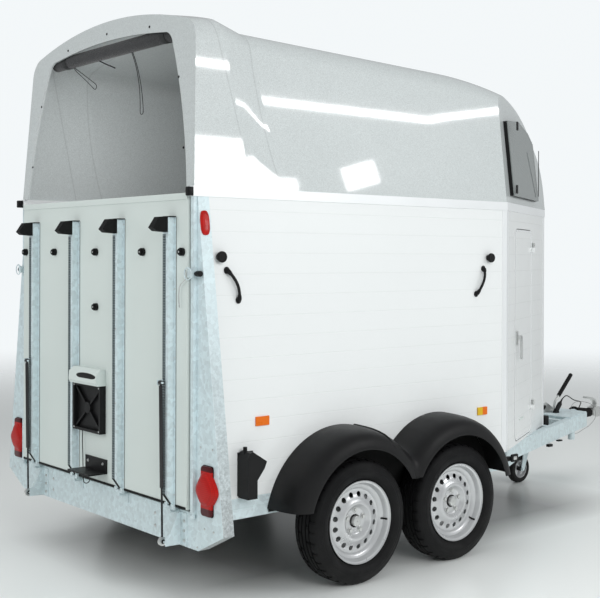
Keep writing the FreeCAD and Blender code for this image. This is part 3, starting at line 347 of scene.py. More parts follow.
def copy_of(model, name, move):
    """A copy of a modelled piece, moved to its place."""
    piece = linked(name, model.data.copy())
    piece.data.transform(move)
    return piece


def thrown_away(models):
    for model in models:
        bpy.data.objects.remove(model)


def finished(piece, body, slot, replaced=()):
    """Hand a piece to the frame: the body it moves with and the slot of its finish."""
    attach(piece, body)
    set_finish(piece, slot)
    if replaced:
        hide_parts(*replaced)
    made.append(piece)
    return piece


print("ready to turn and copy")

# %% Plates and their outlines


def axes_of(out):
    """A direction, with the right and the up of a face that looks along it."""
    out = Vector(out).normalized()
    right = Vector((0, 0, 1)).cross(out).normalized()
    return out, right, out.cross(right)


def plate(name, outline, thick, place, out, edge):
    """A flat plate: an outline in millimetres (right, up), pushed out along `out`."""
    out, right, up = axes_of(out)
    corners = [place + right * a / 1000 + up * b / 1000 for a, b in outline]
    piece = mesh_piece(name, corners, [], [list(range(len(corners)))])
    edit_all(piece)
    bpy.ops.mesh.extrude_region_move(TRANSFORM_OT_translate={"value": out * thick / 1000})
    bpy.ops.mesh.select_all(action="SELECT")
    bpy.ops.mesh.normals_make_consistent(inside=False)
    end_edit()
    if edge:
        rounded(piece, edge / 1000)
    return piece


def fitted(name, outline, thick, place, out, edge, slot, body="trailer"):
    """A plate that is made and handed over in one step."""
    return finished(plate(name, outline, thick, place, out, edge), body, slot)


def oval(width, height):
    turns = [2 * math.pi * i / 24 for i in range(24)]
    return [(width / 2 * math.cos(turn), height / 2 * math.sin(turn)) for turn in turns]


def rounded_box(width, height, corner, per_corner=4):
    """The outline of a rectangle with round corners."""
    outline = []
    for turn, (sx, sy) in enumerate(((1, 1), (-1, 1), (-1, -1), (1, -1))):
        for i in range(per_corner + 1):
            a = math.pi / 2 * (turn + i / per_corner)
            outline.append((sx * (width / 2 - corner) + corner * math.cos(a),
                            sy * (height / 2 - corner) + corner * math.sin(a)))
    return outline


print("a round-cornered outline has", len(rounded_box(30, 20, 5)), "points")

# %% [markdown]
# ## Bolts and screws
# Bolts, screws and plugs hold the folded steel, the planks and the moulded arch together. Each
# kind is modelled once: a hexagon bolt on its washer, a low dome screw and a plain hole plug.
# The cross in the head of a screw is too fine to show at this size. Copies are set along the
# plates and joined into one piece for each group, because that is how they'd be counted out of
# a box.

# %% Model the fasteners


def fastener(name, profile, steps, hexagon=0.0):
    """A turned fastener that stands on the origin and points along +z."""
    piece = lathe(name, profile, steps)
    piece.data.transform(Matrix.Rotation(math.pi / 2, 4, "X"))
    if hexagon:
        bpy.ops.mesh.primitive_cylinder_add(vertices=6, radius=hexagon / 1000,
                                            depth=hexagon / 1400,
                                            location=(0, 0, hexagon / 2800 + 0.0012))
        head = bpy.context.object
        rounded(head, hexagon / 12000, 1)
        joined([piece, head])
    smooth(piece)
    return piece


washer = [(0, 0.2), (0, 9), (1.2, 9), (1.6, 8.4), (1.6, 0.2)]
dome = [(0, 0.1), (0, 5.2), (0.8, 5.2), (2.2, 3.9), (2.9, 2.0), (3.1, 0.1)]
plug_side = [(0, 0.1), (0, 4.2), (0.6, 4.2), (0.9, 3.4), (0.9, 0.1)]
hex_model = fastener("hex_bolt", washer, 20, 6.4)
dome_model = fastener("dome_screw", dome, 16)
plug_model = fastener("hole_plug", plug_side, 12)


def set_of(name, model, places, body, slot, scale=1.0):
    """Copies of one fastener at (place, direction) pairs, joined into one piece."""
    copies = [copy_of(model, name, Matrix.Translation(place) @ facing(out, "Z", "Y")
                      @ Matrix.Scale(scale, 4)) for place, out in places]
    finished(joined(copies), body, slot)


print("fasteners:", [len(m.data.polygons) for m in (hex_model, dome_model, plug_model)])

# %% Set the screws and bolts
RIBS = (676, 215, -246, -706)
HINGES_UP = (677, 1697)


def on_rear(x, spots):
    """Places on a face that looks to the rear, each with its direction."""
    return [(at(x, y, z), REARWARD) for y, z in spots]


def on_bevel(spots):
    return [(at_bevel(along, -5, z), BEVEL_OUT) for along, z in spots]


post_spots = [(side * y, z) for y, z in (
    (-939, 391), (-1010, 390), (-880, 297), (-862, 1870), (-866, 1500), (-868, 1120),
    (-1000, 760), (-905, 760)) for side in (1, -1)]
member_spots = [(y, z) for y in (-524, 524) for z in (392, 332)]
arch_out = Vector((-1, 0, 0.055)).normalized()
arch_places = [(at(12 + 0.055 * (z - 1957), y, z), arch_out) for y, z in (
    (417, 2762), (-417, 2762), (0, 2790), (770, 2140), (-770, 2140), (700, 2480), (-700, 2480))]
rivet_spots = [(y - 8, z) for y in RIBS for z in (1270, 900)]
plate_beside = (215, -1)
rib_screw_spots = [(y + side * 31, z) for y in RIBS for side in (1, -1)
                   for z in (520, 840, 1160, 1480, 1790)
                   if not ((y, side) == plate_beside and 720 < z < 1060)]
gusset_spots = [(y - 72, z) for y in (676, -706) for z in (310, 355, 400)]
hinge_spots = [(along, z + 16) for z in HINGES_UP for along in (764, 782)]
door_spots = [(along, z - 16) for z in HINGES_UP for along in (690, 712)]
set_of("post_screws", dome_model, on_rear(30, post_spots), "trailer", "zinc")
set_of("member_screws", dome_model, on_rear(30, member_spots), "trailer", "zinc", 1.5)
set_of("arch_screws", dome_model, arch_places, "trailer", "black_plastic", 1.25)
set_of("rib_rivets", plug_model, on_rear(-35, rivet_spots), "ramp", "zinc")
set_of("rib_screws", dome_model, on_rear(-3, rib_screw_spots), "ramp", "zinc", 0.8)
set_of("shelf_bolts", hex_model, on_rear(-6, [(70, 566), (-82, 566)]), "ramp", "zinc", 0.9)
set_of("gusset_bolts", hex_model, on_rear(26, gusset_spots), "trailer", "zinc", 0.9)
set_of("hinge_screws", dome_model, on_bevel(hinge_spots), "trailer", "zinc", 0.8)
set_of("door_hinge_screws", dome_model, on_bevel(door_spots), "service_door", "zinc", 0.8)
print("fasteners set:", len(made))

# %% [markdown]
# ## Tyres
# A radial tyre has a bead on its rim, raised rings on its sidewall and four grooves round its
# tread. Half of this section is drawn, then mirrored and spun. A sculpted ring would look
# rougher, while a spun one is exactly round. The cuts across the shoulders are faces pushed in
# toward the axle. One tyre is shaped, and the others are copies of it.

# %% Shape one tyre
TYRE_STEPS = 144
half_section = [
    (-47, 190.6), (-60, 193.2), (-64, 196), (-65, 207), (-69, 211.4), (-75, 216), (-79, 219.5),
    (-82.6, 226), (-84.4, 227.2), (-86.8, 232), (-90.4, 240), (-92.2, 248), (-92.2, 256),
    (-91.2, 257.4), (-90.4, 263), (-91, 264.6), (-89.4, 269), (-85.2, 281), (-82.8, 286),
    (-83, 288), (-79.2, 296), (-73, 302.4), (-66, 307.2), (-59, 309.2), (-42, 310.2),
    (-41.2, 303.4), (-35, 303.4), (-34.2, 310.5), (-17.6, 310.9), (-16.8, 303.8), (-10.4, 303.8),
    (-9.6, 310.9)]
section = half_section + [(-along, r) for along, r in half_section[::-1]]
tyre = lathe("tyre", section, TYRE_STEPS)
edit_all(tyre)


def tread_cut(face):
    """Every fourth face of a shoulder, and every sixth of the rib between two grooves."""
    middle = face.calc_center_median()
    along, r = abs(middle.y) * 1000, math.hypot(middle.x, middle.z) * 1000
    turn = math.degrees(math.atan2(middle.z, middle.x))
    step = round(turn * TYRE_STEPS / 360 - 0.5) % TYRE_STEPS
    if r < 304:
        return False
    if 42 < along < 72:
        return step % 4 == 0
    return step % 6 == (1 if middle.y > 0 else 4) and (18 < along < 34)


cuts = pick_faces(tyre, tread_cut)
bpy.ops.mesh.extrude_region_shrink_fatten(TRANSFORM_OT_shrink_fatten={"value": -0.0045})
end_edit()
smooth(tyre, 28)
print("tyre faces:", len(tyre.data.polygons), "cuts:", cuts)

# %% [markdown]
# ## Wheel trim
# Five hexagon bolts hold every wheel, round a turned hub cap on its rubber ring. The brake drum
# shows only through the vent holes, so a plain turned body is enough for it, and a short valve
# stands in the rim. They could be part of the rim, but on their own they get their own finish.

# %% Bolts, cap, drum and valve of one wheel
bolt_turn = Matrix.Rotation(math.pi / 2, 4, "X") @ Matrix.Scale(1.75, 4)
trim_parts = []
for i in range(5):
    angle = 2 * math.pi * i / 5 + 0.3
    place = Vector((0.056 * math.cos(angle), -0.0308, 0.056 * math.sin(angle)))
    trim_parts.append(copy_of(hex_model, "wheel_bolt", Matrix.Translation(place) @ bolt_turn))
trim_parts.append(lathe("hub_cap", [
    (-21, 20), (-21, 26), (-44, 26), (-48, 24.4), (-49.6, 20), (-50, 14), (-50, 2), (-46, 2),
    (-44, 20)], 32))
trim_parts.append(lathe("brake_drum", [
    (-26.8, 34.6), (-26.8, 64), (-20, 66), (-20, 110), (-16, 112), (38, 112), (38, 21),
    (-20, 21), (-20, 34.6)], 40))
wheel_trim = joined(trim_parts)
smooth(wheel_trim)
seal = turned("hub_seal", [(-26.6, 26.4), (-26.6, 31), (-29, 32), (-31.5, 32), (-31.5, 29),
                           (-29, 26.4)], 32)
valve = turned("valve", [(0, 0.4), (0, 7), (4, 6.4), (6, 4.6), (24, 4.2), (25, 4.9), (33, 4.9),
                         (35, 4.0), (35, 0.4)], 14)
print("wheel trim faces:", len(wheel_trim.data.polygons))

# %% [markdown]
# ## Rims
# A pressed steel rim is a barrel with a dished disc inside, so its section is spun once. The
# sixteen vent holes could be cut one by one. A ring of sixteen pins cuts them all in one step
# and is then thrown away.

# %% Shape one rim
rim_section = [
    (-77, 207.4), (-71, 207.6), (-66, 205), (-65.4, 195), (-60, 191.4), (-47, 189.8), (-38, 182),
    (-35, 172.4), (33, 172.4), (44, 182), (48, 190), (62, 194), (66, 205), (76.6, 207.4),
    (76.6, 203), (60, 192), (46, 184), (36, 168), (-30, 166.4), (-24, 158), (-22.6, 150),
    (-28, 128), (-37, 112), (-44.6, 101), (-47.6, 93), (-46.8, 84), (-40, 74), (-29, 66.4),
    (-27, 62), (-27, 34.4), (-30, 34.4), (-31, 62), (-33.4, 68), (-44, 77), (-50.6, 86),
    (-51, 94), (-48, 103), (-40.6, 114), (-31.6, 129), (-26.6, 150), (-29, 160), (-38, 167.4),
    (-41, 175), (-44, 184), (-51, 187.6), (-63, 190.6), (-69, 196), (-71, 203)]
rim = lathe("rim", rim_section, 96)
pins = []
for i in range(16):
    angle = 2 * math.pi * (i + 0.5) / 16
    bpy.ops.mesh.primitive_cylinder_add(vertices=20, radius=0.0135, depth=0.06,
                                        location=(0.134 * math.cos(angle), -0.03,
                                                  0.134 * math.sin(angle)),
                                        rotation=(math.pi / 2, 0, 0))
    pins.append(bpy.context.object)
cut = rim.modifiers.new("vents", "BOOLEAN")
cut.operation = "DIFFERENCE"
cut.object = joined(pins)
apply_modifiers(rim)
thrown_away(pins[:1])
smooth(rim, 32)
print("rim faces:", len(rim.data.polygons))

# %% Fit the four wheels
for end, x in WHEELS.items():
    for side, sign in SIDES:
        body = "wheel_%s_%s" % (end, side)
        half_turn = Matrix.Rotation(math.pi if sign > 0 else 0.0, 4, "Z")
        stand = Matrix.Translation(at(x, sign * WHEEL_OUT, AXLE_UP)) @ half_turn
        valve_turn = Matrix.Rotation(math.radians(4 if end == "rear" else 38), 4, "Y")
        lean = (valve_turn @ Matrix.Translation((0.176, -0.036, 0))
                @ Matrix.Rotation(math.radians(205), 4, "Z"))
        for name, model, move, slot, replaced in (
                ("tyre_", tyre, stand, "tyre", ["tyre_%s_%s" % (end, side)]),
                ("pressed_", rim, stand, "rim_paint", ["rim_%s_%s" % (end, side)]),
                ("trim_", wheel_trim, stand, "zinc", []),
                ("seal_", seal, stand, "black_rubber", []),
                ("valve_", valve, stand @ lean, "black_rubber", [])):
            finished(copy_of(model, name + body, move), body, slot, replaced)
thrown_away((tyre, rim, wheel_trim, valve, seal))
print("wheels fitted")

# %% [markdown]
# ## Jockey wheel
# The small wheel under the nose has a solid rubber tyre with two shallow grooves on a pressed
# steel disc with six openings. The disc is spun with both its faces. Between its hub and its
# edge, five of every eight faces are inset, and bridging the front to the back opens the disc
# there. Pins would cut round holes, but these openings are longer than wide.

# %% Shape the jockey wheel
jockey_axle = Matrix.Translation(at(3495, 55, 100))
rubber = turned("jockey_tyre", [
    (-20, 62), (-28, 68), (-29.6, 80), (-28.6, 88), (-25, 94.6), (-19, 98.6), (-12, 99.4),
    (-10.6, 96.6), (-7.4, 96.6), (-6, 99.8), (6, 99.8), (7.4, 96.6), (10.6, 96.6), (12, 99.4),
    (19, 98.6), (25, 94.6), (28.6, 88), (29.6, 80), (28, 68), (20, 62)], 64, jockey_axle)
finished(rubber, "jockey_wheel", "black_rubber", ["jockey_wheel"])
disc = lathe("jockey_disc", [(0, 16), (0, 24), (-4, 32), (-5, 54), (-16, 60), (-24, 61.6),
                             (-25, 64), (-21.6, 64), (-14, 62), (-1, 56), (1, 54), (2, 34),
                             (5, 26), (5, 16)], 48)
edit_all(disc)


def hole_face(face):
    """Five of every eight faces on the flat part of the disc."""
    middle = face.calc_center_median()
    r = math.hypot(middle.x, middle.z) * 1000
    step = int(math.degrees(math.atan2(middle.z, middle.x)) % 360 / 7.5)
    return 36 < r < 52 and step % 8 in (1, 2, 3, 4, 5) and abs(face.normal.y) > 0.8


holes = pick_faces(disc, hole_face)
bpy.ops.mesh.inset(thickness=0.0012)
bpy.ops.mesh.bridge_edge_loops()
end_edit()
disc.data.transform(jockey_axle)
smooth(disc)
finished(disc, "jockey_wheel", "rim_paint")
hub = turned("jockey_hub", [(-30, 8.3), (-30, 13), (-27, 16), (27, 16), (30, 13), (30, 8.3)], 28,
             jockey_axle)
finished(hub, "jockey_wheel", "black_plastic")
print("jockey wheel: holes made from", holes, "faces")

# %% [markdown]
# ## Small parts of the door
# The service door has a rubber seal in its gap, a thin aluminium trim, a narrow vent cover and
# a round lock in its handle plate. Seal and trim are plates that follow the rounded outline of
# the door and then lose their middle. A bent tube could follow it too, but both are flat on the
# real door.

# %% Door seal, vent and lock


def band(name, outline, wide, place, thick):
    """A closed strip along an outline on the slanted wall: a plate without its middle."""
    piece = plate(name, outline, thick, place, BEVEL_OUT, 0)
    edit_all(piece)
    pick_faces(piece, lambda face: abs(face.normal.dot(BEVEL_OUT)) > 0.9)
    bpy.ops.mesh.inset(thickness=wide / 1000, use_individual=True)
    bpy.ops.mesh.bridge_edge_loops()
    bpy.ops.mesh.select_all(action="SELECT")
    bpy.ops.mesh.normals_make_consistent(inside=False)
    end_edit()
    smooth(piece)
    return piece


DOOR = {"from": 238.0, "wide": 500.0, "low": 511.0, "high": 1804.0, "corner": 60.0}
door_tall = DOOR["high"] - DOOR["low"]
door_along = DOOR["from"] + DOOR["wide"] / 2
door_up = (DOOR["low"] + DOOR["high"]) / 2
gap = rounded_box(DOOR["wide"] + 8, door_tall + 8, DOOR["corner"] + 4, 8)
seal = band("door_seal", gap, 3.4, at_bevel(door_along, 7, door_up), 4)
finished(seal, "trailer", "black_rubber")
leaf = rounded_box(DOOR["wide"] - 1, door_tall - 1, DOOR["corner"], 8)
trim = band("door_trim", leaf, 9, at_bevel(door_along, 0, door_up), 1.6)
finished(trim, "service_door", "aluminium")
fitted("door_vent", rounded_box(120, 14, 6.5), 3, at_bevel(430, 0, 630), BEVEL_OUT, 1.0,
       "ramp_skin", "service_door")
lock = turned("door_lock", [(0, 0.3), (0, 9), (2.2, 8.6), (3.2, 7.2), (3.2, 0.3)], 24,
              Matrix.Translation(at_bevel(279, -8, 1116)) @ facing(BEVEL_OUT))
finished(lock, "service_door", "zinc")
print("the door is %.0f by %.0f mm" % (DOOR["wide"], door_tall))

# %% [markdown]
# ## Plate lamp and plate holder
# The lamp box above the plate holder has an oval black window in its rear face, and the
# holder's tray has four screws. The window could be a dark patch of the finish, but a thin oval
# plate has a real edge that catches the light.

# %% Lamp window and tray screws
fitted("plate_lamp_glass", oval(200, 34), 3, at(-55.4, 6, 1014), REARWARD, 1.0,
       "black_plastic", "ramp")
tray_spots = [(y, z) for y in (-86, 172) for z in (734, 956)]
set_of("tray_screws", dome_model, on_rear(-34, tray_spots), "ramp", "zinc", 0.9)
print("tray screws:", len(tray_spots))

# %% [markdown]
# ## Tail lamps and side lamps
# A tail lamp is a base plate on a gasket, with a bulged lens over its middle. The lens outline
# is drawn with straight lines, and its corners are cut twice to make it round. Rings of this
# outline, each a little smaller, are then stacked to the bulge. A pressed sphere would be
# quicker, but it has no pointed ends. The oval side lamps are made the same way.

# %% Outlines, skins and domes


def softened(outline):
    """Cut every corner of an outline, twice."""
    for _ in range(2):
        cut_line = []
        for (ax, ay), (bx, by) in zip(outline, outline[1:] + outline[:1]):
            cut_line += [(0.78 * ax + 0.22 * bx, 0.78 * ay + 0.22 * by),
                         (0.22 * ax + 0.78 * bx, 0.22 * ay + 0.78 * by)]
        outline = cut_line
    return outline


def skin_faces(rows, wide, closed):
    """The faces between rows of points; closed rows run round a ring."""
    return [[row * wide + i, row * wide + (i + 1) % wide, (row + 1) * wide + (i + 1) % wide,
             (row + 1) * wide + i]
            for row in range(rows - 1) for i in range(wide if closed else wide - 1)]


def ring_skin(name, rings):
    """A closed body from rings of points, with a face on both ends."""
    count = len(rings[0])
    last = (len(rings) - 1) * count
    faces = skin_faces(len(rings), count, True)
    faces += [list(range(count))[::-1], [last + i for i in range(count)]]
    piece = mesh_piece(name, [point for ring in rings for point in ring], [], faces)
    clean_normals(piece)
    smooth(piece, 50)
    return piece


def domed(name, outline, place, out, steps):
    """Stack rings of an outline, by (height, share of its size), to a bulged lens."""
    out, right, up = axes_of(out)
    return ring_skin(name, [[place + out * high / 1000 + (right * a + up * b) * share / 1000
                             for a, b in softened(outline)] for high, share in steps])


print("ready to dome")

# %% Shape the lamps
lens_line = [(0, 90), (30, 86), (62, 44), (82, 14), (82, -10), (62, -40), (34, -70), (0, -74),
             (-34, -70), (-62, -40), (-82, -10), (-82, 14), (-62, 44), (-30, 86)]
lens_steps = ((0.2, 0.99), (10, 0.985), (14, 0.96), (20, 0.88), (26, 0.76), (30, 0.62),
              (31.6, 0.42), (32, 0.2))
for side, sign in SIDES:
    centre = at(30, sign * 957 - 9, 569)
    fitted("lamp_gasket_" + side, rounded_box(88, 232, 14), 3, centre, REARWARD, 0.8,
           "black_rubber")
    base = plate("lamp_base_" + side, rounded_box(84, 228, 18), 15, centre, REARWARD, 4.5)
    finished(base, "trailer", "red_lens", ["rear_lamps"])
    lens = domed("lamp_lens_" + side, lens_line, centre, REARWARD, lens_steps)
    finished(lens, "trailer", "red_lens")
marker_line = [(0, 59), (-15, 56), (-24, 34), (-25, 0), (-24, -34), (-15, -56), (0, -59),
               (15, -56), (24, -34), (25, 0), (24, 34), (15, 56)]
marker_steps = ((0.1, 0.985), (6, 0.98), (8.6, 0.9), (9.6, 0.6))
for side, sign in SIDES:
    marker = domed("side_lamp_" + side, marker_line, at(57.3, sign * 892.4, 1787),
                   (0, sign, 206 / 1531), marker_steps)
    finished(marker, "trailer", "red_lens")
print("faces of a side lamp:", len(marker.data.polygons))

# %% [markdown]
# ## Mudguards
# A guard is one thin moulding over two wheels. Each line of its section runs over both humps;
# between the wheels the line is eased into a saddle, and near the edge it stops at the foot of
# the apron. The lines are joined into a skin, which gets its thickness. Two spun arches would
# be simpler, but they'd meet in a sharp valley. Where two mouldings overlap, a low rib crosses
# the rear hump at a slant. Behind the tyres a black sheet covers the wall up to the guard; it is
# partly a liner and partly painted shade of the dark space under the guard.

# %% Lines of the guard's section
guard_lines = [(875.4, 468), (905, 467.4), (945, 466), (985, 463), (1020, 457), (1048, 448.6),
               (1068, 437), (1082, 422), (1090, 405), (1095.4, 388), (1099, 372), (1098, 366)]
middle_x = (WHEELS["rear"] + WHEELS["front"]) / 2
SADDLE, SADDLE_UP, EASINGS = 120, 494.0, 26
GUARD_FOOT = 415


def over_both(r):
    """Stations and heights of one section line, from the rear foot to the front foot."""
    half_gap = middle_x - WHEELS["rear"]
    low = math.asin((GUARD_FOOT - AXLE_UP) / r)
    peak = math.acos(half_gap / r) if r > half_gap else 0.0
    line = []
    for i in range(101):
        turn = math.pi - low + (peak - math.pi + low) * i / 100
        line.append((WHEELS["rear"] + r * math.cos(turn), AXLE_UP + r * math.sin(turn)))
    line += [(2 * middle_x - x, z) for x, z in line[-2::-1]]
    saddle_low = SADDLE_UP if r < 440 else 0.0
    line = [(x, z if abs(x - middle_x) > SADDLE else max(z, saddle_low)) for x, z in line]
    for _ in range(EASINGS):
        eased = list(line)
        for i in range(1, len(line) - 1):
            if abs(line[i][0] - middle_x) < SADDLE and r > 400:
                eased[i] = tuple((line[i - 1][k] + 2 * line[i][k] + line[i + 1][k]) / 4
                                 for k in (0, 1))
        line = eased
    return line


print("the guards' humps are %.0f mm apart" % (2 * (middle_x - WHEELS["rear"])))

# %% Shape the mudguards


def guard_skin(sign):
    """The moulding itself, with its thickness inside the drawn lines."""
    rows = [[at(x, sign * y, z) for x, z in over_both(r)] for y, r in guard_lines]
    piece = mesh_piece("guard_skin", [point for row in rows for point in row], [],
                       skin_faces(len(rows), len(rows[0]), False))
    clean_normals(piece)
    top = max(piece.data.polygons, key=lambda face: face.center.z)
    thickened(piece, 0.0038, -1 if top.normal.z > 0 else 1)
    smooth(piece, 40)
    return piece


def guard_ridge(sign):
    """The low slanted rib: five (degrees, height) lines across the guard and two ends."""
    section = guard_lines[:9]
    count = len(section)
    corners = []
    for lean, lift in ((0.0, -3.0), (0.6, 5.0), (1.5, 7.0), (2.4, 5.0), (3.0, -3.0)):
        for i, (y, r) in enumerate(section):
            angle = math.radians(77.0 - 15.0 * (i / (count - 1)) ** 1.5 - lean)
            corners.append(at(WHEELS["rear"] + (r + lift) * math.cos(angle), sign * y,
                              AXLE_UP + (r + lift) * math.sin(angle)))
    faces = skin_faces(5, count, False)
    faces += [[i + 1, i, 4 * count + i, 4 * count + i + 1] for i in range(count - 1)]
    faces += [[row * count for row in range(5)],
              [row * count + count - 1 for row in (4, 3, 2, 1, 0)]]
    piece = mesh_piece("guard_ridge", corners, [], faces)
    clean_normals(piece)
    smooth(piece, 60)
    return piece


def liner_and_shade_sheet(sign):
    """A black sheet on the wall behind the tyres, up to the guard: partly a liner, partly painted
    shade.
    """
    top = over_both(461)
    corners = [at(x, sign * 877.4, z) for x, z in top] + [at(x, sign * 877.4, 398) for x, _ in top]
    piece = mesh_piece("liner_and_shade_sheet", corners, [], skin_faces(2, len(top), False))
    thickened(piece, 0.003)
    clean_normals(piece)
    return piece


for sign in (-1, 1):
    finished(guard_skin(sign), "trailer", "black_plastic", ["mudguards"])
    finished(guard_ridge(sign), "trailer", "black_plastic")
    finished(liner_and_shade_sheet(sign), "trailer", "black_rubber")
print("pieces so far:", len(made))

# %% [markdown]
# ## Wall fittings
# A grab handle is a line of rings swept along its path, thick at both feet and slim between. A
# bent tube would be equally thick all along. The tie knobs and latch knobs are turned; the caps
# of the belt rail and the parts of the front marker arms are plates.

# %% Grab handles


def swept(name, route, radii, sides=14):
    """A round bar along a route, with its own radius at every point."""
    rings = []
    for i, point in enumerate(route):
        ahead = (route[min(i + 1, len(route) - 1)] - route[max(i - 1, 0)]).normalized()
        across = ahead.cross(Vector((0, 1, 0))).normalized()
        other = ahead.cross(across)
        turns = [2 * math.pi * k / sides for k in range(sides)]
        rings.append([point + (across * math.cos(turn) + other * math.sin(turn)) * radii[i]
                      for turn in turns])
    return ring_skin(name, rings)


for sign in (-1, 1):
    for x0, x1, z0, z1 in ((193, 262, 1568, 1427), (2014, 1954, 1568, 1424)):
        route, radii = [], []
        for i in range(25):
            t = i / 24
            rise = math.sin(math.pi * t) ** 0.45
            bow = 12 * math.sin(math.pi * t)
            route.append(at(x0 + (x1 - x0) * t + bow, sign * (879 + 22 * rise),
                            z0 + (z1 - z0) * t + bow * 0.4))
            radii.append(0.0075 + 0.0055 * max(0.0, 1 - 6 * min(t, 1 - t)) ** 0.7)
        finished(swept("grab_handle", route, radii), "trailer", "black_plastic",
                 ["wall_fittings"])
        for x, z in ((x0, z0), (x1, z1)):
            fitted("handle_foot", oval(30, 34), 9, at(x, sign * HALF_WIDTH, z), (0, sign, 0),
                   2.5, "black_plastic")
print("points along a handle:", len(route))

# %% Knobs, caps and marker arms
tie_knob = lathe("tie_knob", [
    (0, 0.4), (0, 16), (-16, 16), (-18, 20), (-20, 26.4), (-24, 27), (-31, 26.4), (-34.6, 23.6),
    (-35.4, 20), (-33.6, 16), (-33.6, 0.4)], 32)
latch_knob = lathe("latch_knob", [
    (0, 0.4), (0, 9), (-12, 9), (-12, 13), (-15, 13.5), (-38, 13.5), (-41.6, 11.6),
    (-42, 0.4)], 24)
for sign in (-1, 1):
    face = Matrix.Rotation(math.pi if sign > 0 else 0.0, 4, "Z")
    for model, x, y, z in ((tie_knob, 150, HALF_WIDTH, 1631), (tie_knob, 2059, HALF_WIDTH, 1630),
                           (latch_knob, 15, 882.0, 1553.75)):
        knob = copy_of(model, "wall_knob", Matrix.Translation(at(x, sign * y, z)) @ face)
        finished(knob, "trailer", "black_plastic")
    for name, outline, thick, place, edge, slot in (
            ("belt_cap", rounded_box(29, 41, 5), 27, (-10.5, 855, 1931.5), 3, "black_plastic"),
            ("marker_arm", rounded_box(60, 26, 3), 22, (2230, 875, 449), 2, "black_plastic"),
            ("marker_case", rounded_box(60, 46, 9), 12, (2270, 897, 453), 3, "black_plastic"),
            ("marker_lens", rounded_box(30, 20, 5), 1.4, (2272, 908, 453), 0.4, "zinc")):
        x, y, z = place
        fitted(name, outline, thick, at(x, sign * y, z), (0, sign, 0), edge, slot)
thrown_away((tie_knob, latch_knob))
print("pieces so far:", len(made))

# %% [markdown]
# ## Ramp strips
# Each rib wears a perforated strip on its rear face, whose dark grey is painted shade: it stands
# for the shaded side of the rib, with its holes. The holes are cells of a grid that are inset
# and taken out, and the sheet then gets its thickness. A picture of holes would be lighter, but
# through real ones the rib shows. A cap closes the top of the rib, a foot piece follows its
# slanted lower end, and a thin grey bead of painted shade marks the gap along both flanges. A
# rubber lip closes the gap under the ramp, and a small screw sits in every rubber button.

# %% Strips, lip and button screws
ramp_half = 836.0
rib_places = [HALF_WIDTH * share for share in (0.7726, 0.2457, -0.2811, -0.8069)]
shade_beads, rib_shade_strips = [], []
for y in rib_places:
    # The strip's dark grey is painted shade of the rib's side; the holes are real.
    bpy.ops.mesh.primitive_grid_add(x_subdivisions=2, y_subdivisions=97, size=1,
                                    location=(0, 0, 0), rotation=(math.pi / 2, 0, math.pi / 2))
    strip = bpy.context.object
    strip.name = "rib_shade_strip"
    bpy.ops.object.transform_apply(location=False, rotation=True, scale=False)
    strip.data.transform(Matrix.Translation(at(-35.2, y + 9, 1128))
                         @ Matrix.Diagonal((1, 0.025, 1.216, 1)))
    edit_all(strip)
    bpy.ops.mesh.inset(thickness=0.0038, use_individual=True)
    bpy.ops.mesh.delete(type="FACE")
    end_edit()
    thickened(strip, 0.0012)
    clean_normals(strip)
    rib_shade_strips.append(finished(strip, "ramp", "black_rubber"))
    fitted("rib_cap", rounded_box(62, 5, 1.5), 34, at(-0.5, y - 8, 1818.5), REARWARD, 0.6,
           "black_rubber", "ramp")
    fitted("rib_foot", [(3.5, 28), (-21.5, 28), (0, -28), (21, -28)], 1.4, at(-21.6, y, 495),
           (-0.88, 0, -0.475), 0.4, "black_rubber", "ramp")
    # Each bead is a thin grey line of painted shade in the gap beside the rib.
    for side in (-1, 1):
        shade_beads.append(fitted("rib_shade_bead", rounded_box(3.4, 1346, 1.4), 1.4,
                            at(-0.2, y + side * 41, 1143), REARWARD, 0.5, "black_rubber",
                            "ramp"))
fitted("ramp_lip", rounded_box(1660, 11, 2), 2.4, at(-0.2, 0, 470), REARWARD, 0.5,
       "black_rubber", "ramp")
button_spots = [(share * ramp_half, z) for share, z in (
    (0.958, 1654), (0.539, 1654), (-0.001, 1654), (-0.547, 1654), (-0.957, 1654),
    (-0.005, 1370))]
set_of("button_screws", dome_model, on_rear(-24, button_spots), "ramp", "zinc", 0.9)
print("ramp strips:", len(rib_shade_strips), "beads:", len(shade_beads))

# %% [markdown]
# ## Strut eyes and latch pin
# At the foot of each gas strut a plated ring with a black cap sits round the eye of the rod. A
# bent wire pin hangs beside the right latch. Ring and cap are turned, and the wire is swept
# along ten points, as if bent by hand over pegs.

# %% Rings, caps and wire pin
for side, y in (("left", rib_places[0]), ("right", rib_places[3])):
    eye = Matrix.Translation(at(-48, y, 303))
    ring = turned("eye_ring", [(-9, 11), (-9, 19), (-7, 21), (7, 21), (9, 19), (9, 11)], 28, eye)
    finished(ring, "strut_rod_" + side, "zinc")
    cap = turned("eye_cap", [(-13, 0.4), (-12.4, 5), (-9.4, 9.5), (9.4, 9.5), (12.4, 5),
                             (13, 0.4)], 20, eye)
    finished(cap, "strut_rod_" + side, "black_plastic")
pin_line = [(-834, 1574), (-845, 1562), (-849, 1544), (-842, 1528), (-822, 1514), (-800, 1502),
            (-789, 1484), (-786, 1452), (-788, 1420), (-793, 1394)]
pin = swept("latch_pin", [at(-13, y, z) for y, z in pin_line], [0.0024] * len(pin_line), 10)
finished(pin, "ramp", "zinc")
print("strut eyes fitted at", [round(y) for y in (rib_places[0], rib_places[3])], "mm")

# %% [markdown]
# ## Window fittings
# Each side window has four dark screws, two black hinge blocks at its rear edge and a black
# strip along its front edge. A mirror modifier could make the left side from the right one; a
# loop over both sides does it here, so that every piece is a mesh of its own.

# %% Screws, blocks and strips of the windows
WINDOW_OUT = 28


def on_front(side, along, z):
    """A place on the window frame in the slanted front wall of one side."""
    spot = at_bevel(along, -WINDOW_OUT, z)
    return Vector((spot.x, spot.y * side, spot.z))


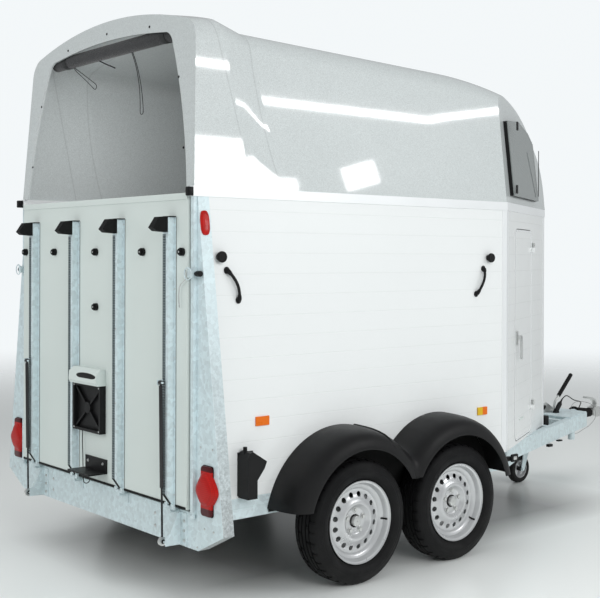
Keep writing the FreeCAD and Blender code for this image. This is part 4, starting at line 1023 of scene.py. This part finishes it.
for side in (1, -1):
    outward = Vector((BEVEL_OUT.x, BEVEL_OUT.y * side, 0))
    screws = [(on_front(side, along, z), outward) for along, z in (
        (374, 2367), (586, 2366), (290, 2071), (518, 2072))]
    set_of("window_screws_%d" % -side, plug_model, screws, "trailer", "black_plastic", 0.6)
    for z in (2418, 2040):
        fitted("window_block", rounded_box(34, 52, 5), 7, on_front(side, 137, z), outward, 2,
               "black_plastic")
    fitted("window_strip", rounded_box(12, 300, 4), 3, on_front(side, 806, 2180), outward, 0.8,
           "black_plastic")
print("window screws on each side:", len(screws))

# %% [markdown]
# ## Drawbar fittings
# The brake lever's end wears a black rubber grip with rings for the fingers. A loop writes
# these rings into the line that is turned. Under the right rail sit two cable clips, and beside
# the nose is a small knob over a black box.

# %% Grip, clips and box
grip_foot, grip_end = at(3829, -50, 611), at(3974, -50, 753)
grip_length = (grip_end - grip_foot).length * 1000
grip_line = [(0, 9), (0, 14.6)]
for i in range(9):
    start = 8 + i * (grip_length - 24) / 9
    grip_line += [(start, 14.2), (start + 2, 15.2), (start + 9, 15.4), (start + 12, 14.4)]
grip_line += [(grip_length + 4, 15), (grip_length + 11, 11.6), (grip_length + 14, 5),
              (grip_length + 14, 0.4), (grip_length, 0.4), (grip_length, 9)]
grip = turned("lever_grip", grip_line, 24,
              Matrix.Translation(grip_foot) @ facing(grip_end - grip_foot), 40)
finished(grip, "trailer", "black_rubber")
for x, y, tall in ((3157, -470, 18), (3351, -404, 10)):
    fitted("cable_clip", rounded_box(44, tall, 4), 24, at(x, y, 384 - tall / 2), (0, -1, 0), 2,
           "black_plastic")
fitted("nose_box", rounded_box(120, 84, 8), 46, at(3330, -250, 492), (1, 0, 0), 3,
       "black_plastic")
knob = lathe("nose_knob", [(0, 0.4), (0, 6), (10, 6), (10, 12), (26, 13), (29, 9), (29, 0.4)], 20)
knob.data.transform(Matrix.Translation(at(3336, -300, 580)) @ Matrix.Rotation(math.pi / 2, 4, "X"))
finished(knob, "trailer", "black_plastic")
print("the lever grip is %.0f mm long" % grip_length)

# %% [markdown]
# ## Padded bars
# The breast and breech bars are steel tubes in foam sleeves. Each sleeve is a turned body with
# round ends, cinched slightly by two straps, and it takes the place of the plain bar. A cloth
# simulation could add creases, but a tight sleeve shows none.

# %% Shape the padded bars
sleeve_line = [(0, 12), (0, 24), (3, 27.2), (60, 27.9), (68, 26.2), (76, 27.9), (400, 28),
               (748, 27.9), (756, 26.2), (764, 27.9), (826, 27.2), (829.3, 24), (829.3, 12)]
for x, z in ((440, 1150), (2190, 1250)):
    for turn in (0.0, math.pi):
        place = Matrix.Translation(at(x, 0, z)) @ Matrix.Rotation(turn, 4, "Z")
        pad = turned("bar_pad", [(along + 20.5, r) for along, r in sleeve_line], 28, place, 50)
        finished(pad, "trailer", "padding", ["stall_bars"])
        tube = turned("bar_tube", [(20.6, 8), (20.6, 14), (849.6, 14), (849.6, 8)], 20, place)
        finished(tube, "trailer", "zinc")
print("a sleeve is %.0f mm long" % sleeve_line[-1][0])

# %% [markdown]
# ## Rolled blind
# The blind for the rear opening is a length of dark cloth, rolled up under the roof. Its edge
# is a spiral line that is pulled out sideways and given the cloth's thickness, so the ends show
# the turns. A plain cylinder would fill the same place, but it would show no turns and tell
# nothing of the cloth's real length. Two webbing straps hold the roll up to the hood.

# %% Roll the cloth
TURNS = 9
INNER, OUTER = 9.0, 36.4
WIDE = 1276.0
ROLL_X, ROLL_UP = 108, 2714


def ribbon(name, line, start, wide, steps, thick):
    """Pull a line of (x, z) out sideways in steps, and give it a thickness."""
    piece = mesh_piece(name, [at(x, start, z) for x, z in line], line_edges(len(line)))
    edit_all(piece)
    for _ in range(steps):
        bpy.ops.mesh.extrude_region_move(
            TRANSFORM_OT_translate={"value": (0, wide / steps / 1000, 0)})
    end_edit()
    thickened(piece, thick)
    smooth(piece, 60)
    return piece


def round_roll(r, turn):
    return ROLL_X + r * math.cos(turn), ROLL_UP + r * math.sin(turn)


shares = [i / (TURNS * 28) for i in range(TURNS * 28 + 1)]
spiral = [round_roll(INNER + (OUTER - INNER) * share, 2 * math.pi * TURNS * share)
          for share in shares]
blind = ribbon("blind_cloth", spiral, -WIDE / 2, WIDE, 8, 0.0011)
finished(blind, "trailer", "blind_cloth", ["rolled_blind"])

# %% Webbing straps of the roll
loop = [round_roll(38, math.radians(degrees)) for degrees in range(120, 421, 12)]
loop = [(loop[0][0], 2789)] + loop + [(loop[-1][0], 2789)]
straps = [ribbon("roll_strap", loop, y - 19, 38, 1, 0.0016) for y in (-500, 500)]
for webbing in straps:
    finished(webbing, "trailer", "cord")
print("straps:", len(straps))

# %% [markdown]
# ## Ends of the cords
# The lighting cable leaves its plug through a soft tapered boot and goes into the drawbar
# through another, because a cable that bends at a sharp edge would soon break. The boots are
# turned.

# %% Cable boots


def boot(name, place, toward, length, wide, narrow):
    """A tapered rubber sleeve with three grooves, from `place` along the cord."""
    rings = [(0, narrow * 0.7), (0, wide)]
    for i in range(1, 4):
        r = wide + (narrow - wide) * i / 4
        rings += [(length * i / 4 - 2, r), (length * i / 4 - 1.2, r - 0.7),
                  (length * i / 4 + 1.2, r - 0.7), (length * i / 4 + 2, r - 0.1)]
    rings += [(length - 1, narrow), (length, narrow * 0.7)]
    piece = turned(name, rings, 24, Matrix.Translation(place) @ facing(toward))
    return finished(piece, "trailer", "black_rubber")


def along(route, first, second):
    return at(*route[second]) - at(*route[first])


plug_boot = boot("plug_boot", at(*plug_route[-1]), along(plug_route, -1, -2), 26, 6.9, 4.7)
gland_boot = boot("gland_boot", at(*plug_route[0]), along(plug_route, 0, 1), 28, 6.8, 4.7)
thrown_away((hex_model, dome_model, plug_model))
print("cords declared:", len(cords))

# %% [markdown]
# ## Shared shader effects
# Real surfaces are never one flat colour. Five small node groups hold the effects that many
# finishes share: an uneven tone, a fine relief, a film of road dust that grows toward the
# ground, the spangle of zinc, and long lines across a board. Each gives a colour, a mask or a
# height. Pictures could do the same, but they'd have to be laid out on every piece, while these
# patterns follow the place on the trailer, in metres.

# %% Ways to add shader nodes


def node(tree, kind, settings=None, **inputs):
    """Add a shader node, set its options, and set or link its named or numbered inputs."""
    made_node = tree.nodes.new("ShaderNode" + kind)
    for key, value in (settings or {}).items():
        setattr(made_node, key, value)
    for key, value in inputs.items():
        numbered = key[1:].isdigit()
        socket = made_node.inputs[int(key[1:]) if numbered else key]
        if isinstance(value, bpy.types.NodeSocket):
            tree.links.new(value, socket)
        else:
            socket.default_value = value
    return made_node


def calc(tree, operation, *values, clamp=False):
    """One step of arithmetic with numbers or links."""
    inputs = {"i%d" % i: value for i, value in enumerate(values)}
    return node(tree, "Math", {"operation": operation, "use_clamp": clamp}, **inputs).outputs[0]


def blended(tree, a, b, factor):
    """A colour between a and b."""
    return node(tree, "Mix", {"data_type": "RGBA"}, i0=factor, i6=a, i7=b).outputs[2]


def valued(tree, colour, value, saturation=1.0):
    """The same colour, made lighter or darker."""
    return node(tree, "HueSaturation", Color=colour, Value=value,
                Saturation=saturation).outputs[0]


def ranged(tree, value, low, high, to_low, to_high, ease="LINEAR"):
    """Map a range of values onto another range."""
    return node(tree, "MapRange", {"interpolation_type": ease}, i0=value, i1=low, i2=high,
                i3=to_low, i4=to_high).outputs[0]


def parts_of(tree, place):
    """The x, y and z of a place."""
    return node(tree, "SeparateXYZ", i0=place).outputs


def new_group(name, inputs, outputs):
    """A node group, with the sockets that come in and those that go out."""
    tree = bpy.data.node_groups.new(name, "ShaderNodeTree")
    for label, kind, value in inputs:
        socket = tree.interface.new_socket(label, in_out="INPUT", socket_type="NodeSocket" + kind)
        if value is not None:
            socket.default_value = value
    for label, kind in outputs:
        tree.interface.new_socket(label, in_out="OUTPUT", socket_type="NodeSocket" + kind)
    return (tree, tree.nodes.new("NodeGroupInput").outputs,
            tree.nodes.new("NodeGroupOutput").inputs)


PLACE = ("Vector", "Vector", None)
print("ready to add nodes")

# %% Uneven tone and fine relief
tone, t_in, t_out = new_group(
    "uneven tone", [PLACE, ("Colour", "Color", (0.5, 0.5, 0.5, 1)), ("Scale", "Float", 4.0),
                    ("Amount", "Float", 0.1)], [("Colour", "Color"), ("Mask", "Float")])
cloud = node(tone, "TexNoise", Vector=t_in[0], Scale=t_in[2], Detail=6.0, Roughness=0.62)
swing = calc(tone, "MULTIPLY_ADD", cloud.outputs[0], t_in[3], 1.0)
settled = calc(tone, "MULTIPLY_ADD", t_in[3], -0.5, swing)
tone.links.new(valued(tone, t_in[1], settled), t_out[0])
tone.links.new(cloud.outputs[0], t_out[1])

relief, r_in, r_out = new_group(
    "fine relief", [PLACE, ("Scale", "Float", 300.0), ("Coarse", "Float", 0.3)],
    [("Height", "Float")])
grain = node(relief, "TexNoise", Vector=r_in[0], Scale=r_in[1], Detail=3.0)
swell = node(relief, "TexNoise", Vector=r_in[0], Scale=calc(relief, "MULTIPLY", r_in[1], 0.06),
             Detail=1.0)
height = node(relief, "Mix", {"data_type": "FLOAT"}, i0=r_in[2], i2=grain.outputs[0],
              i3=swell.outputs[0])
relief.links.new(height.outputs[0], r_out[0])
print("two groups:", tone.name, "and", relief.name)

# %% Road dust
dust, d_in, d_out = new_group(
    "road dust", [PLACE, ("Reach", "Float", 0.9), ("Amount", "Float", 0.3)],
    [("Mask", "Float")])
low_part = ranged(dust, parts_of(dust, d_in[0])[2], 0.0, d_in[1], 1.0, 0.0)
patches = node(dust, "TexNoise", Vector=d_in[0], Scale=9.0, Detail=7.0, Roughness=0.7)
broken = ranged(dust, patches.outputs[0], 0.38, 0.7, 0.15, 1.0)
dust.links.new(calc(dust, "MULTIPLY", calc(dust, "MULTIPLY", low_part, broken), d_in[2]),
               d_out[0])
print("one group:", dust.name)

# %% Spangle and board lines
spangle, s_in, s_out = new_group(
    "zinc spangle", [PLACE, ("Scale", "Float", 70.0)], [("Mask", "Float"), ("Height", "Float")])
warp = node(spangle, "TexNoise", Vector=s_in[0], Scale=40.0, Detail=2.0)
bent = node(spangle, "VectorMath", {"operation": "MULTIPLY_ADD"}, i0=warp.outputs[1],
            i1=(0.02, 0.02, 0.02), i2=s_in[0])
cells = node(spangle, "TexVoronoi", Vector=bent.outputs[0], Scale=s_in[1])
cell_tone = node(spangle, "SeparateColor", Color=cells.outputs[1])
spangle.links.new(cell_tone.outputs[0], s_out[0])
spangle.links.new(cells.outputs[0], s_out[1])

lines, l_in, l_out = new_group(
    "board lines", [("Along", "Float", 0.0), ("Pitch", "Float", 0.1), ("Width", "Float", 0.03)],
    [("Mask", "Float")])
part = calc(lines, "FRACT", calc(lines, "DIVIDE", l_in[0], l_in[1]))
distance = calc(lines, "ABSOLUTE", calc(lines, "SUBTRACT", part, 0.5))
lines.links.new(ranged(lines, distance, 0.0, l_in[2], 1.0, 0.0, "SMOOTHSTEP"), l_out[0])
print("two groups:", spangle.name, "and", lines.name)

# %% [markdown]
# ## Finishes
# One recipe makes every finish: base tone, dust, roughness that follows both, and a relief.
# What sets a finish apart is added between the base tone and the dust. Each material could be
# wired by hand, but then the same dust would differ from piece to piece.

# %% The common recipe


def inputs_of(material):
    return material.node_tree.nodes["Principled BSDF"].inputs


def surface(name, colour, roughness, metallic=0.0, tone_scale=5.0, tone_amount=0.08,
            grain=400.0, bump=0.02, coarse=0.3, dusty=0.25, reach=0.9, coat=0.0, extra=None):
    """A finish; `extra` may change (tree, place, colour, roughness, height) and give them back."""
    material = bpy.data.materials.new(name)
    material.use_nodes = True
    tree = material.node_tree
    shader = inputs_of(material)
    place = node(tree, "TexCoord").outputs["Object"]
    toned = node(tree, "Group", {"node_tree": tone}, Vector=place, Colour=(*colour, 1),
                 Scale=tone_scale, Amount=tone_amount)
    rough = ranged(tree, toned.outputs[1], 0.3, 0.7, roughness * 0.85, roughness * 1.2)
    fine = node(tree, "Group", {"node_tree": relief}, Vector=place, Scale=grain, Coarse=coarse)
    shade, height = toned.outputs[0], fine.outputs[0]
    if extra:
        shade, rough, height = extra(tree, place, shade, rough, height)
    film = node(tree, "Group", {"node_tree": dust}, Vector=place, Reach=reach, Amount=dusty)
    shade = blended(tree, shade, (0.42, 0.41, 0.38, 1), film.outputs[0])
    rough = calc(tree, "MULTIPLY_ADD", film.outputs[0], 0.35, rough, clamp=True)
    bumped = node(tree, "Bump", Strength=1.0, Distance=bump / 1000, Height=height)
    tree.links.new(shade, shader["Base Color"])
    tree.links.new(rough, shader["Roughness"])
    tree.links.new(bumped.outputs[0], shader["Normal"])
    shader["Metallic"].default_value = metallic
    shader["Coat Weight"].default_value = coat
    shader["Coat Roughness"].default_value = 0.04
    return material


print("the recipe uses", tone.name, relief.name, "and", dust.name)

# %% [markdown]
# ## What sets a finish apart
# Each function below adds one thing to the recipe: crystals and stains on zinc, joints on the
# walls, prisms in the lenses, the weave of cloth, the strands of wire, ribs, flakes or flecks.

# %% Zinc and wall boards


def zinc_cells(tree, place, shade, rough, height):
    """Zinc crystals, and mottled stains low on the outer flanks of the rear posts."""
    cells = node(tree, "Group", {"node_tree": spangle}, Vector=place, Scale=55.0).outputs[0]
    shade = blended(tree, valued(tree, shade, 0.82), shade, cells)
    rough = calc(tree, "MULTIPLY_ADD", cells, 0.16, rough)
    spot = parts_of(tree, place)
    flank = ranged(tree, calc(tree, "ABSOLUTE", spot[1]), 0.886, 0.887, 0.0, 1.0)
    for axis, start, end, at_start, at_end in (
            (0, -2.1305, -2.1295, 0.0, 1.0), (0, -2.05, -2.0, 1.0, 0.0), (2, 0.3, 1.5, 1.0, 0.0)):
        limit = ranged(tree, spot[axis], start, end, at_start, at_end)
        flank = calc(tree, "MULTIPLY", flank, limit)
    bloom = node(tree, "TexNoise", Vector=place, Scale=70.0, Detail=6.0, Roughness=0.8)
    stained = valued(tree, shade, ranged(tree, bloom.outputs[0], 0.35, 0.62, 0.3, 0.8), 0.5)
    return blended(tree, shade, stained, flank), rough, height


def wall_lines(tree, place, shade, rough, height):
    """A fine dark joint at every tenth of a metre up the wall."""
    row = node(tree, "Group", {"node_tree": lines}, Along=parts_of(tree, place)[2], Pitch=0.1,
               Width=0.02).outputs[0]
    shade = blended(tree, shade, valued(tree, shade, 0.8), calc(tree, "MULTIPLY", row, 0.35))
    return shade, rough, calc(tree, "MULTIPLY_ADD", row, -12.0, height)


print("zinc and walls ready")

# %% Lamps and reflectors


def prisms(tree, shade, pattern, darkest, start, end, most):
    """Darken a lens toward the edges of its prisms; gives the colour and the relief."""
    edge = ranged(tree, pattern.outputs[0], start, end, 0.0, most)
    return blended(tree, shade, valued(tree, shade, darkest), edge), pattern.outputs[0]


def lamp_zones(tree, place, shade, rough, height):
    """Dark ends on the tail lamps, and the small prisms inside the lens."""
    up = parts_of(tree, place)[2]
    away = calc(tree, "ABSOLUTE", calc(tree, "SUBTRACT", up, 0.575))
    zone = calc(tree, "MULTIPLY", ranged(tree, away, 0.082, 0.086, 0.0, 1.0),
                ranged(tree, up, 0.72, 0.73, 1.0, 0.0))
    shade = blended(tree, shade, (0.07, 0.004, 0.006, 1), zone)
    squares = node(tree, "TexVoronoi", {"distance": "CHEBYCHEV"}, Vector=place, Scale=110.0,
                   Randomness=0.0)
    shade, height = prisms(tree, shade, squares, 0.62, 0.2, 0.5, 0.8)
    return shade, rough, height


def reflector_cells(tree, place, shade, rough, height):
    """Honeycomb prisms, with the rear half of the front reflectors in yellow."""
    ahead = parts_of(tree, place)[0]
    zone = calc(tree, "MULTIPLY", ranged(tree, ahead, -0.2, -0.19, 0.0, 1.0),
                ranged(tree, ahead, -0.153, -0.151, 1.0, 0.0))
    shade = blended(tree, shade, (0.95, 0.62, 0.02, 1), zone)
    comb = node(tree, "TexVoronoi", Vector=place, Scale=150.0, Randomness=0.0)
    shade, height = prisms(tree, shade, comb, 0.7, 0.25, 0.6, 1.0)
    return shade, rough, height


print("lamps and reflectors ready")

# %% Cloth, wire, ribs, flakes and flecks


def woven(tree, place, shade, rough, height):
    weft, warp_lines = [node(tree, "TexWave", {"bands_direction": axis}, Vector=place,
                             Scale=220.0).outputs[1] for axis in ("Y", "Z")]
    weave = calc(tree, "MULTIPLY", weft, warp_lines)
    return blended(tree, shade, valued(tree, shade, 1.5), weave), rough, weave


def stranded(tree, place, shade, rough, height):
    slant = node(tree, "Mapping", Vector=place, Rotation=(0.5, 0.6, 0.5))
    strand = node(tree, "TexWave", Vector=slant.outputs[0], Scale=160.0).outputs[1]
    return blended(tree, valued(tree, shade, 0.45), shade, strand), rough, strand


def mat_ribs(tree, place, shade, rough, height):
    rib = node(tree, "Group", {"node_tree": lines}, Along=parts_of(tree, place)[1], Pitch=0.012,
               Width=0.35)
    return shade, rough, calc(tree, "MULTIPLY", rib.outputs[0], 8.0)


def flakes(tree, place, shade, rough, height):
    """Fine aluminium flakes in clear resin, and a thin line of painted shade along the two folds
    beside the raised arch.
    """
    speck = node(tree, "TexVoronoi", Vector=place, Scale=420.0)
    level = node(tree, "SeparateColor", Color=speck.outputs[1]).outputs[0]
    shade = blended(tree, valued(tree, shade, 0.86), valued(tree, shade, 1.16), level)
    spot = parts_of(tree, place)
    up = calc(tree, "SUBTRACT", spot[2], 2.0)
    # Painted shade: a thin darker line along each fold beside the arch.
    for start, lean, bend in ((-1.8217, -0.2439, 0.0), (-1.6473, -0.3535, 0.2316)):
        slope = calc(tree, "MULTIPLY_ADD", up, bend, lean)
        line = calc(tree, "MULTIPLY_ADD", slope, up, start)
        away = calc(tree, "ABSOLUTE", calc(tree, "SUBTRACT", spot[0], line))
        crease_shade = ranged(tree, away, 0.001, 0.006, 0.4, 0.0)
        shade = blended(tree, shade, valued(tree, shade, 0.62), crease_shade)
    return shade, rough, height


def film_faced(tree, place, shade, rough, height):
    """The wire-mesh print of a board that is pressed with a film."""
    mesh_print = node(tree, "TexVoronoi", Vector=place, Scale=260.0, Randomness=0.1).outputs[0]
    fleck = ranged(tree, mesh_print, 0.3, 0.6, 0.0, 0.5)
    return blended(tree, shade, valued(tree, shade, 1.6), fleck), rough, mesh_print


print("cloth, wire, ribs, flakes and flecks ready")

# %% The finishes of the record's slots
# After its name, a row gives the colour, roughness, metallic share, scale and amount of the
# uneven tone, scale of the grain and depth of the relief in millimetres.
paint = {
    "galvanised": surface("hot-dip zinc", (0.70, 0.815, 0.845), 0.42, 0.25, 3.0, 0.12, 240, 0.03,
                          0.4, extra=zinc_cells),
    "zinc": surface("plated zinc", (0.66, 0.67, 0.66), 0.3, 0.9, 30.0, 0.12, 500, 0.01),
    "aluminium": surface("anodised aluminium", (0.83, 0.85, 0.86), 0.32, 0.25, 2.0, 0.05, 600,
                         0.01, dusty=0.1),
    "board": surface("film-faced board", (0.10, 0.065, 0.05), 0.5, 0.0, 4.0, 0.2, 200, 0.04,
                     extra=film_faced),
    "mat": surface("ribbed rubber mat", (0.03, 0.03, 0.03), 0.75, 0.0, 6.0, 0.3, 200, 0.2,
                   extra=mat_ribs),
    "white_wall": surface("white wall board", (0.78, 0.80, 0.80), 0.2, 0.0, 1.4, 0.04, 90, 0.05,
                          0.6, dusty=0.18, reach=1.1, coat=0.35, extra=wall_lines),
    "ramp_skin": surface("grey ramp skin", (0.62, 0.68, 0.655), 0.38, 0.0, 1.6, 0.04, 700, 0.02,
                         dusty=0.12),
    "silver_gelcoat": surface("silver gelcoat", (0.55, 0.585, 0.585), 0.55, 0.15, 2.0, 0.03, 60,
                              0.01, 0.7, dusty=0.0, coat=1.0, extra=flakes),
    "black_plastic": surface("grained black plastic", (0.0075, 0.0075, 0.008), 0.42, 0.0, 6.0,
                             0.3, 900, 0.06, dusty=0.02),
    "black_rubber": surface("black rubber", (0.006, 0.006, 0.006), 0.6, 0.0, 8.0, 0.3, 600, 0.05,
                            dusty=0.02),
    "black_paint": surface("black enamel", (0.008, 0.008, 0.009), 0.2, 0.0, 8.0, 0.2, 300, 0.01,
                           coat=0.3, dusty=0.02),
    "red_lens": surface("red lens", (0.46, 0.007, 0.005), 0.35, 0.0, 20.0, 0.1, 300, 0.3,
                        dusty=0.0, coat=0.1, extra=lamp_zones),
    "amber_lens": surface("amber lens", (1.0, 0.20, 0.004), 0.3, 0.0, 20.0, 0.1, 300, 0.6,
                          dusty=0.03, coat=0.2, extra=reflector_cells),
    "padding": surface("padding cover", (0.02, 0.02, 0.022), 0.5, 0.0, 12.0, 0.3, 350, 0.25),
    "blind_cloth": surface("blind cloth", (0.02, 0.02, 0.022), 0.85, 0.0, 14.0, 0.3, 500, 0.3,
                           dusty=0.0, extra=woven),
    "rim_paint": surface("silver rim paint", (0.60, 0.61, 0.62), 0.28, 0.6, 6.0, 0.08, 900, 0.01,
                         coat=0.4, dusty=0.15),
    "tyre": surface("tyre rubber", (0.0045, 0.0045, 0.005), 0.62, 0.0, 10.0, 0.35, 700, 0.05,
                    dusty=0.025, reach=0.5),
    "cord": surface("cord sheath", (0.012, 0.012, 0.013), 0.45, 0.0, 20.0, 0.2, 500, 0.03),
    "steel_cable": surface("steel wire rope", (0.4, 0.4, 0.4), 0.35, 0.85, 30.0, 0.1, 500, 0.4,
                           extra=stranded)}
acrylic = surface("tinted acrylic", (0.30, 0.33, 0.325), 0.05, 0.0, 2.0, 0.05, 60, 0.03, 0.8,
                  dusty=0.0)
inputs_of(acrylic)["Transmission Weight"].default_value = 0.3
inputs_of(acrylic)["IOR"].default_value = 1.49
paint["tinted_acrylic"] = acrylic
# Grey painted shade of the gap beside each rib, for the beads.
rib_gap_shade = surface("grey gap shade", (0.16, 0.18, 0.18), 0.5, 0.0, 20.0, 0.2, 300, 0.03, dusty=0.1)
# Dark grey painted shade of the ribs' sides, for the perforated strips.
strip_shade_grey = surface("grey rib shade strip", (0.055, 0.075, 0.08), 0.6, 0.0, 8.0, 0.3, 600, 0.05,
                     dusty=0.05)
black_rod = surface("nitrided rod", (0.02, 0.02, 0.022), 0.25, 0.6, 30.0, 0.1, 500, 0.01,
                    dusty=0.02)
for slot in ("tyre", "black_plastic", "black_rubber", "red_lens", "amber_lens", "blind_cloth"):
    inputs_of(paint[slot])["Specular IOR Level"].default_value = 0.22
inputs_of(paint["blind_cloth"])["Sheen Weight"].default_value = 0.3
print("finishes:", len(paint))

# %% Put the finishes on
for row in frame["record"]["subparts"]:
    piece = cad[row["node"]]
    for material_slot in piece.material_slots:
        material_slot.material = paint[row["material_slot"]]
for piece in made + list(cords):
    piece.data.materials.clear()
    piece.data.materials.append(paint[piece["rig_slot"]])
rods = [cad["strut_rod_left"], cad["strut_rod_right"]]
# The rib strips and the beads get grey painted shade; the rods get their own black.
for pieces, finish in ((rods, black_rod), (shade_beads, rib_gap_shade), (rib_shade_strips, strip_shade_grey)):
    for piece in pieces:
        piece.material_slots[0].material = finish
print("pieces with a finish:", len(cad) + len(made) + len(cords))

# %% [markdown]
# ## The studio
# A pale floor fades out far behind the trailer, so no horizon shows. A white wall behind would
# do as well, but it would need its own light. Soft lamps light the trailer as in the
# photograph. A thin strip high on the right draws the bright line along the hood, two boxes
# below it give the bright patches above the wall, and wide fills light the side and the rear. A
# wide lamp hangs overhead, and a small one brightens the inner face of the hood.

# %% Lay the floor
bpy.ops.mesh.primitive_circle_add(vertices=64, radius=22.0, fill_type="NGON",
                                  location=(0, 0, 0))
floor = bpy.context.active_object
floor.name = "studio_floor"


def under_shade(tree, place, shade, rough, height):
    """The floor is darker in the middle, where little light gets in under the trailer."""
    spot = parts_of(tree, place)
    lengthwise = calc(tree, "ABSOLUTE", calc(tree, "ADD", spot[0], 0.35))
    sideways = calc(tree, "ABSOLUTE", spot[1])
    dark = calc(tree, "MULTIPLY", ranged(tree, lengthwise, 1.2, 1.9, 1.0, 0.0),
                ranged(tree, sideways, 0.6, 0.95, 1.0, 0.0))
    return blended(tree, shade, (0.34, 0.345, 0.34, 1), dark), 0.27, height


pale = surface("studio floor", (0.89, 0.915, 0.90), 0.25, 0.0, 0.2, 0.01, 2.0, 0.0, 0.5,
               dusty=0.0, extra=under_shade)
tree = pale.node_tree
ground = node(tree, "TexCoord").outputs["Object"]
reach = node(tree, "VectorMath", {"operation": "LENGTH"}, i0=ground).outputs["Value"]
tree.links.new(ranged(tree, reach, 4.0, 14.0, 1.0, 0.0, "SMOOTHSTEP"), inputs_of(pale)["Alpha"])
floor.data.materials.append(pale)
print("floor radius", round(floor.dimensions.x / 2, 1), "m")

# %% Daylight and lamps
world = bpy.data.worlds.new("studio")
bpy.context.scene.world = world
world.use_nodes = True
sky = world.node_tree
background = sky.nodes["Background"].inputs
background["Color"].default_value = (0.94, 0.975, 0.99, 1)
seen = node(sky, "LightPath").outputs["Is Camera Ray"]
sky.links.new(ranged(sky, seen, 0.0, 1.0, 0.46, 0.96), background["Strength"])
bpy.context.scene.view_settings.view_transform = "Standard"


def soft_lamp(name, place, target, width, length, power, mirrored=True):
    """A rectangular soft lamp; one that isn't mirrored never shows in glossy faces."""
    light = bpy.data.lights.new(name, "AREA")
    light.shape = "RECTANGLE"
    light.size = width
    light.size_y = length
    light.energy = power
    lamp = linked(name, light)
    lamp.location = place
    lamp.rotation_euler = (Vector(target) - Vector(place)).to_track_quat("-Z", "Y").to_euler()
    lamp.visible_glossy = mirrored
    return lamp


soft_lamp("strip_rear", (3.4, -8.6, 5.38), (3.4, 0, 5.38), 1.7, 0.10, 16)
soft_lamp("strip_middle", (6.45, -8.6, 5.56), (6.45, 0, 5.56), 3.7, 0.10, 34)
rising = soft_lamp("strip_front", (9.25, -8.6, 5.76), (9.25, 0, 5.76), 1.9, 0.10, 17)
rising.rotation_euler.y = -0.17
soft_lamp("window_rear", (2.55, -6.5, 3.35), (2.55, 0, 3.35), 1.6, 0.84, 62)
slanted = soft_lamp("window_front", (4.4, -6.5, 3.86), (4.4, 0, 3.86), 0.6, 0.3, 9)
slanted.rotation_euler.y = -0.25
soft_lamp("right_fill", (-3.0, -7.0, 3.6), (0, 0, 1.2), 4.0, 2.5, 225, False)
soft_lamp("rear_fill", (-6.5, 0.5, 3.0), (0, 0, 1.2), 4.0, 3.0, 90, False)
glow = soft_lamp("inside_glow", (-1.85, -0.55, 2.38), (-1.65, 0.8, 2.1), 0.5, 0.4, 4, False)
glow.data.spread = math.radians(110)
glow.visible_camera = False
above = soft_lamp("above", (0.5, 0, 7.0), (0.5, 0, 0), 9.0, 8.0, 55, False)
above.data.spread = math.radians(70)
print("studio ready")
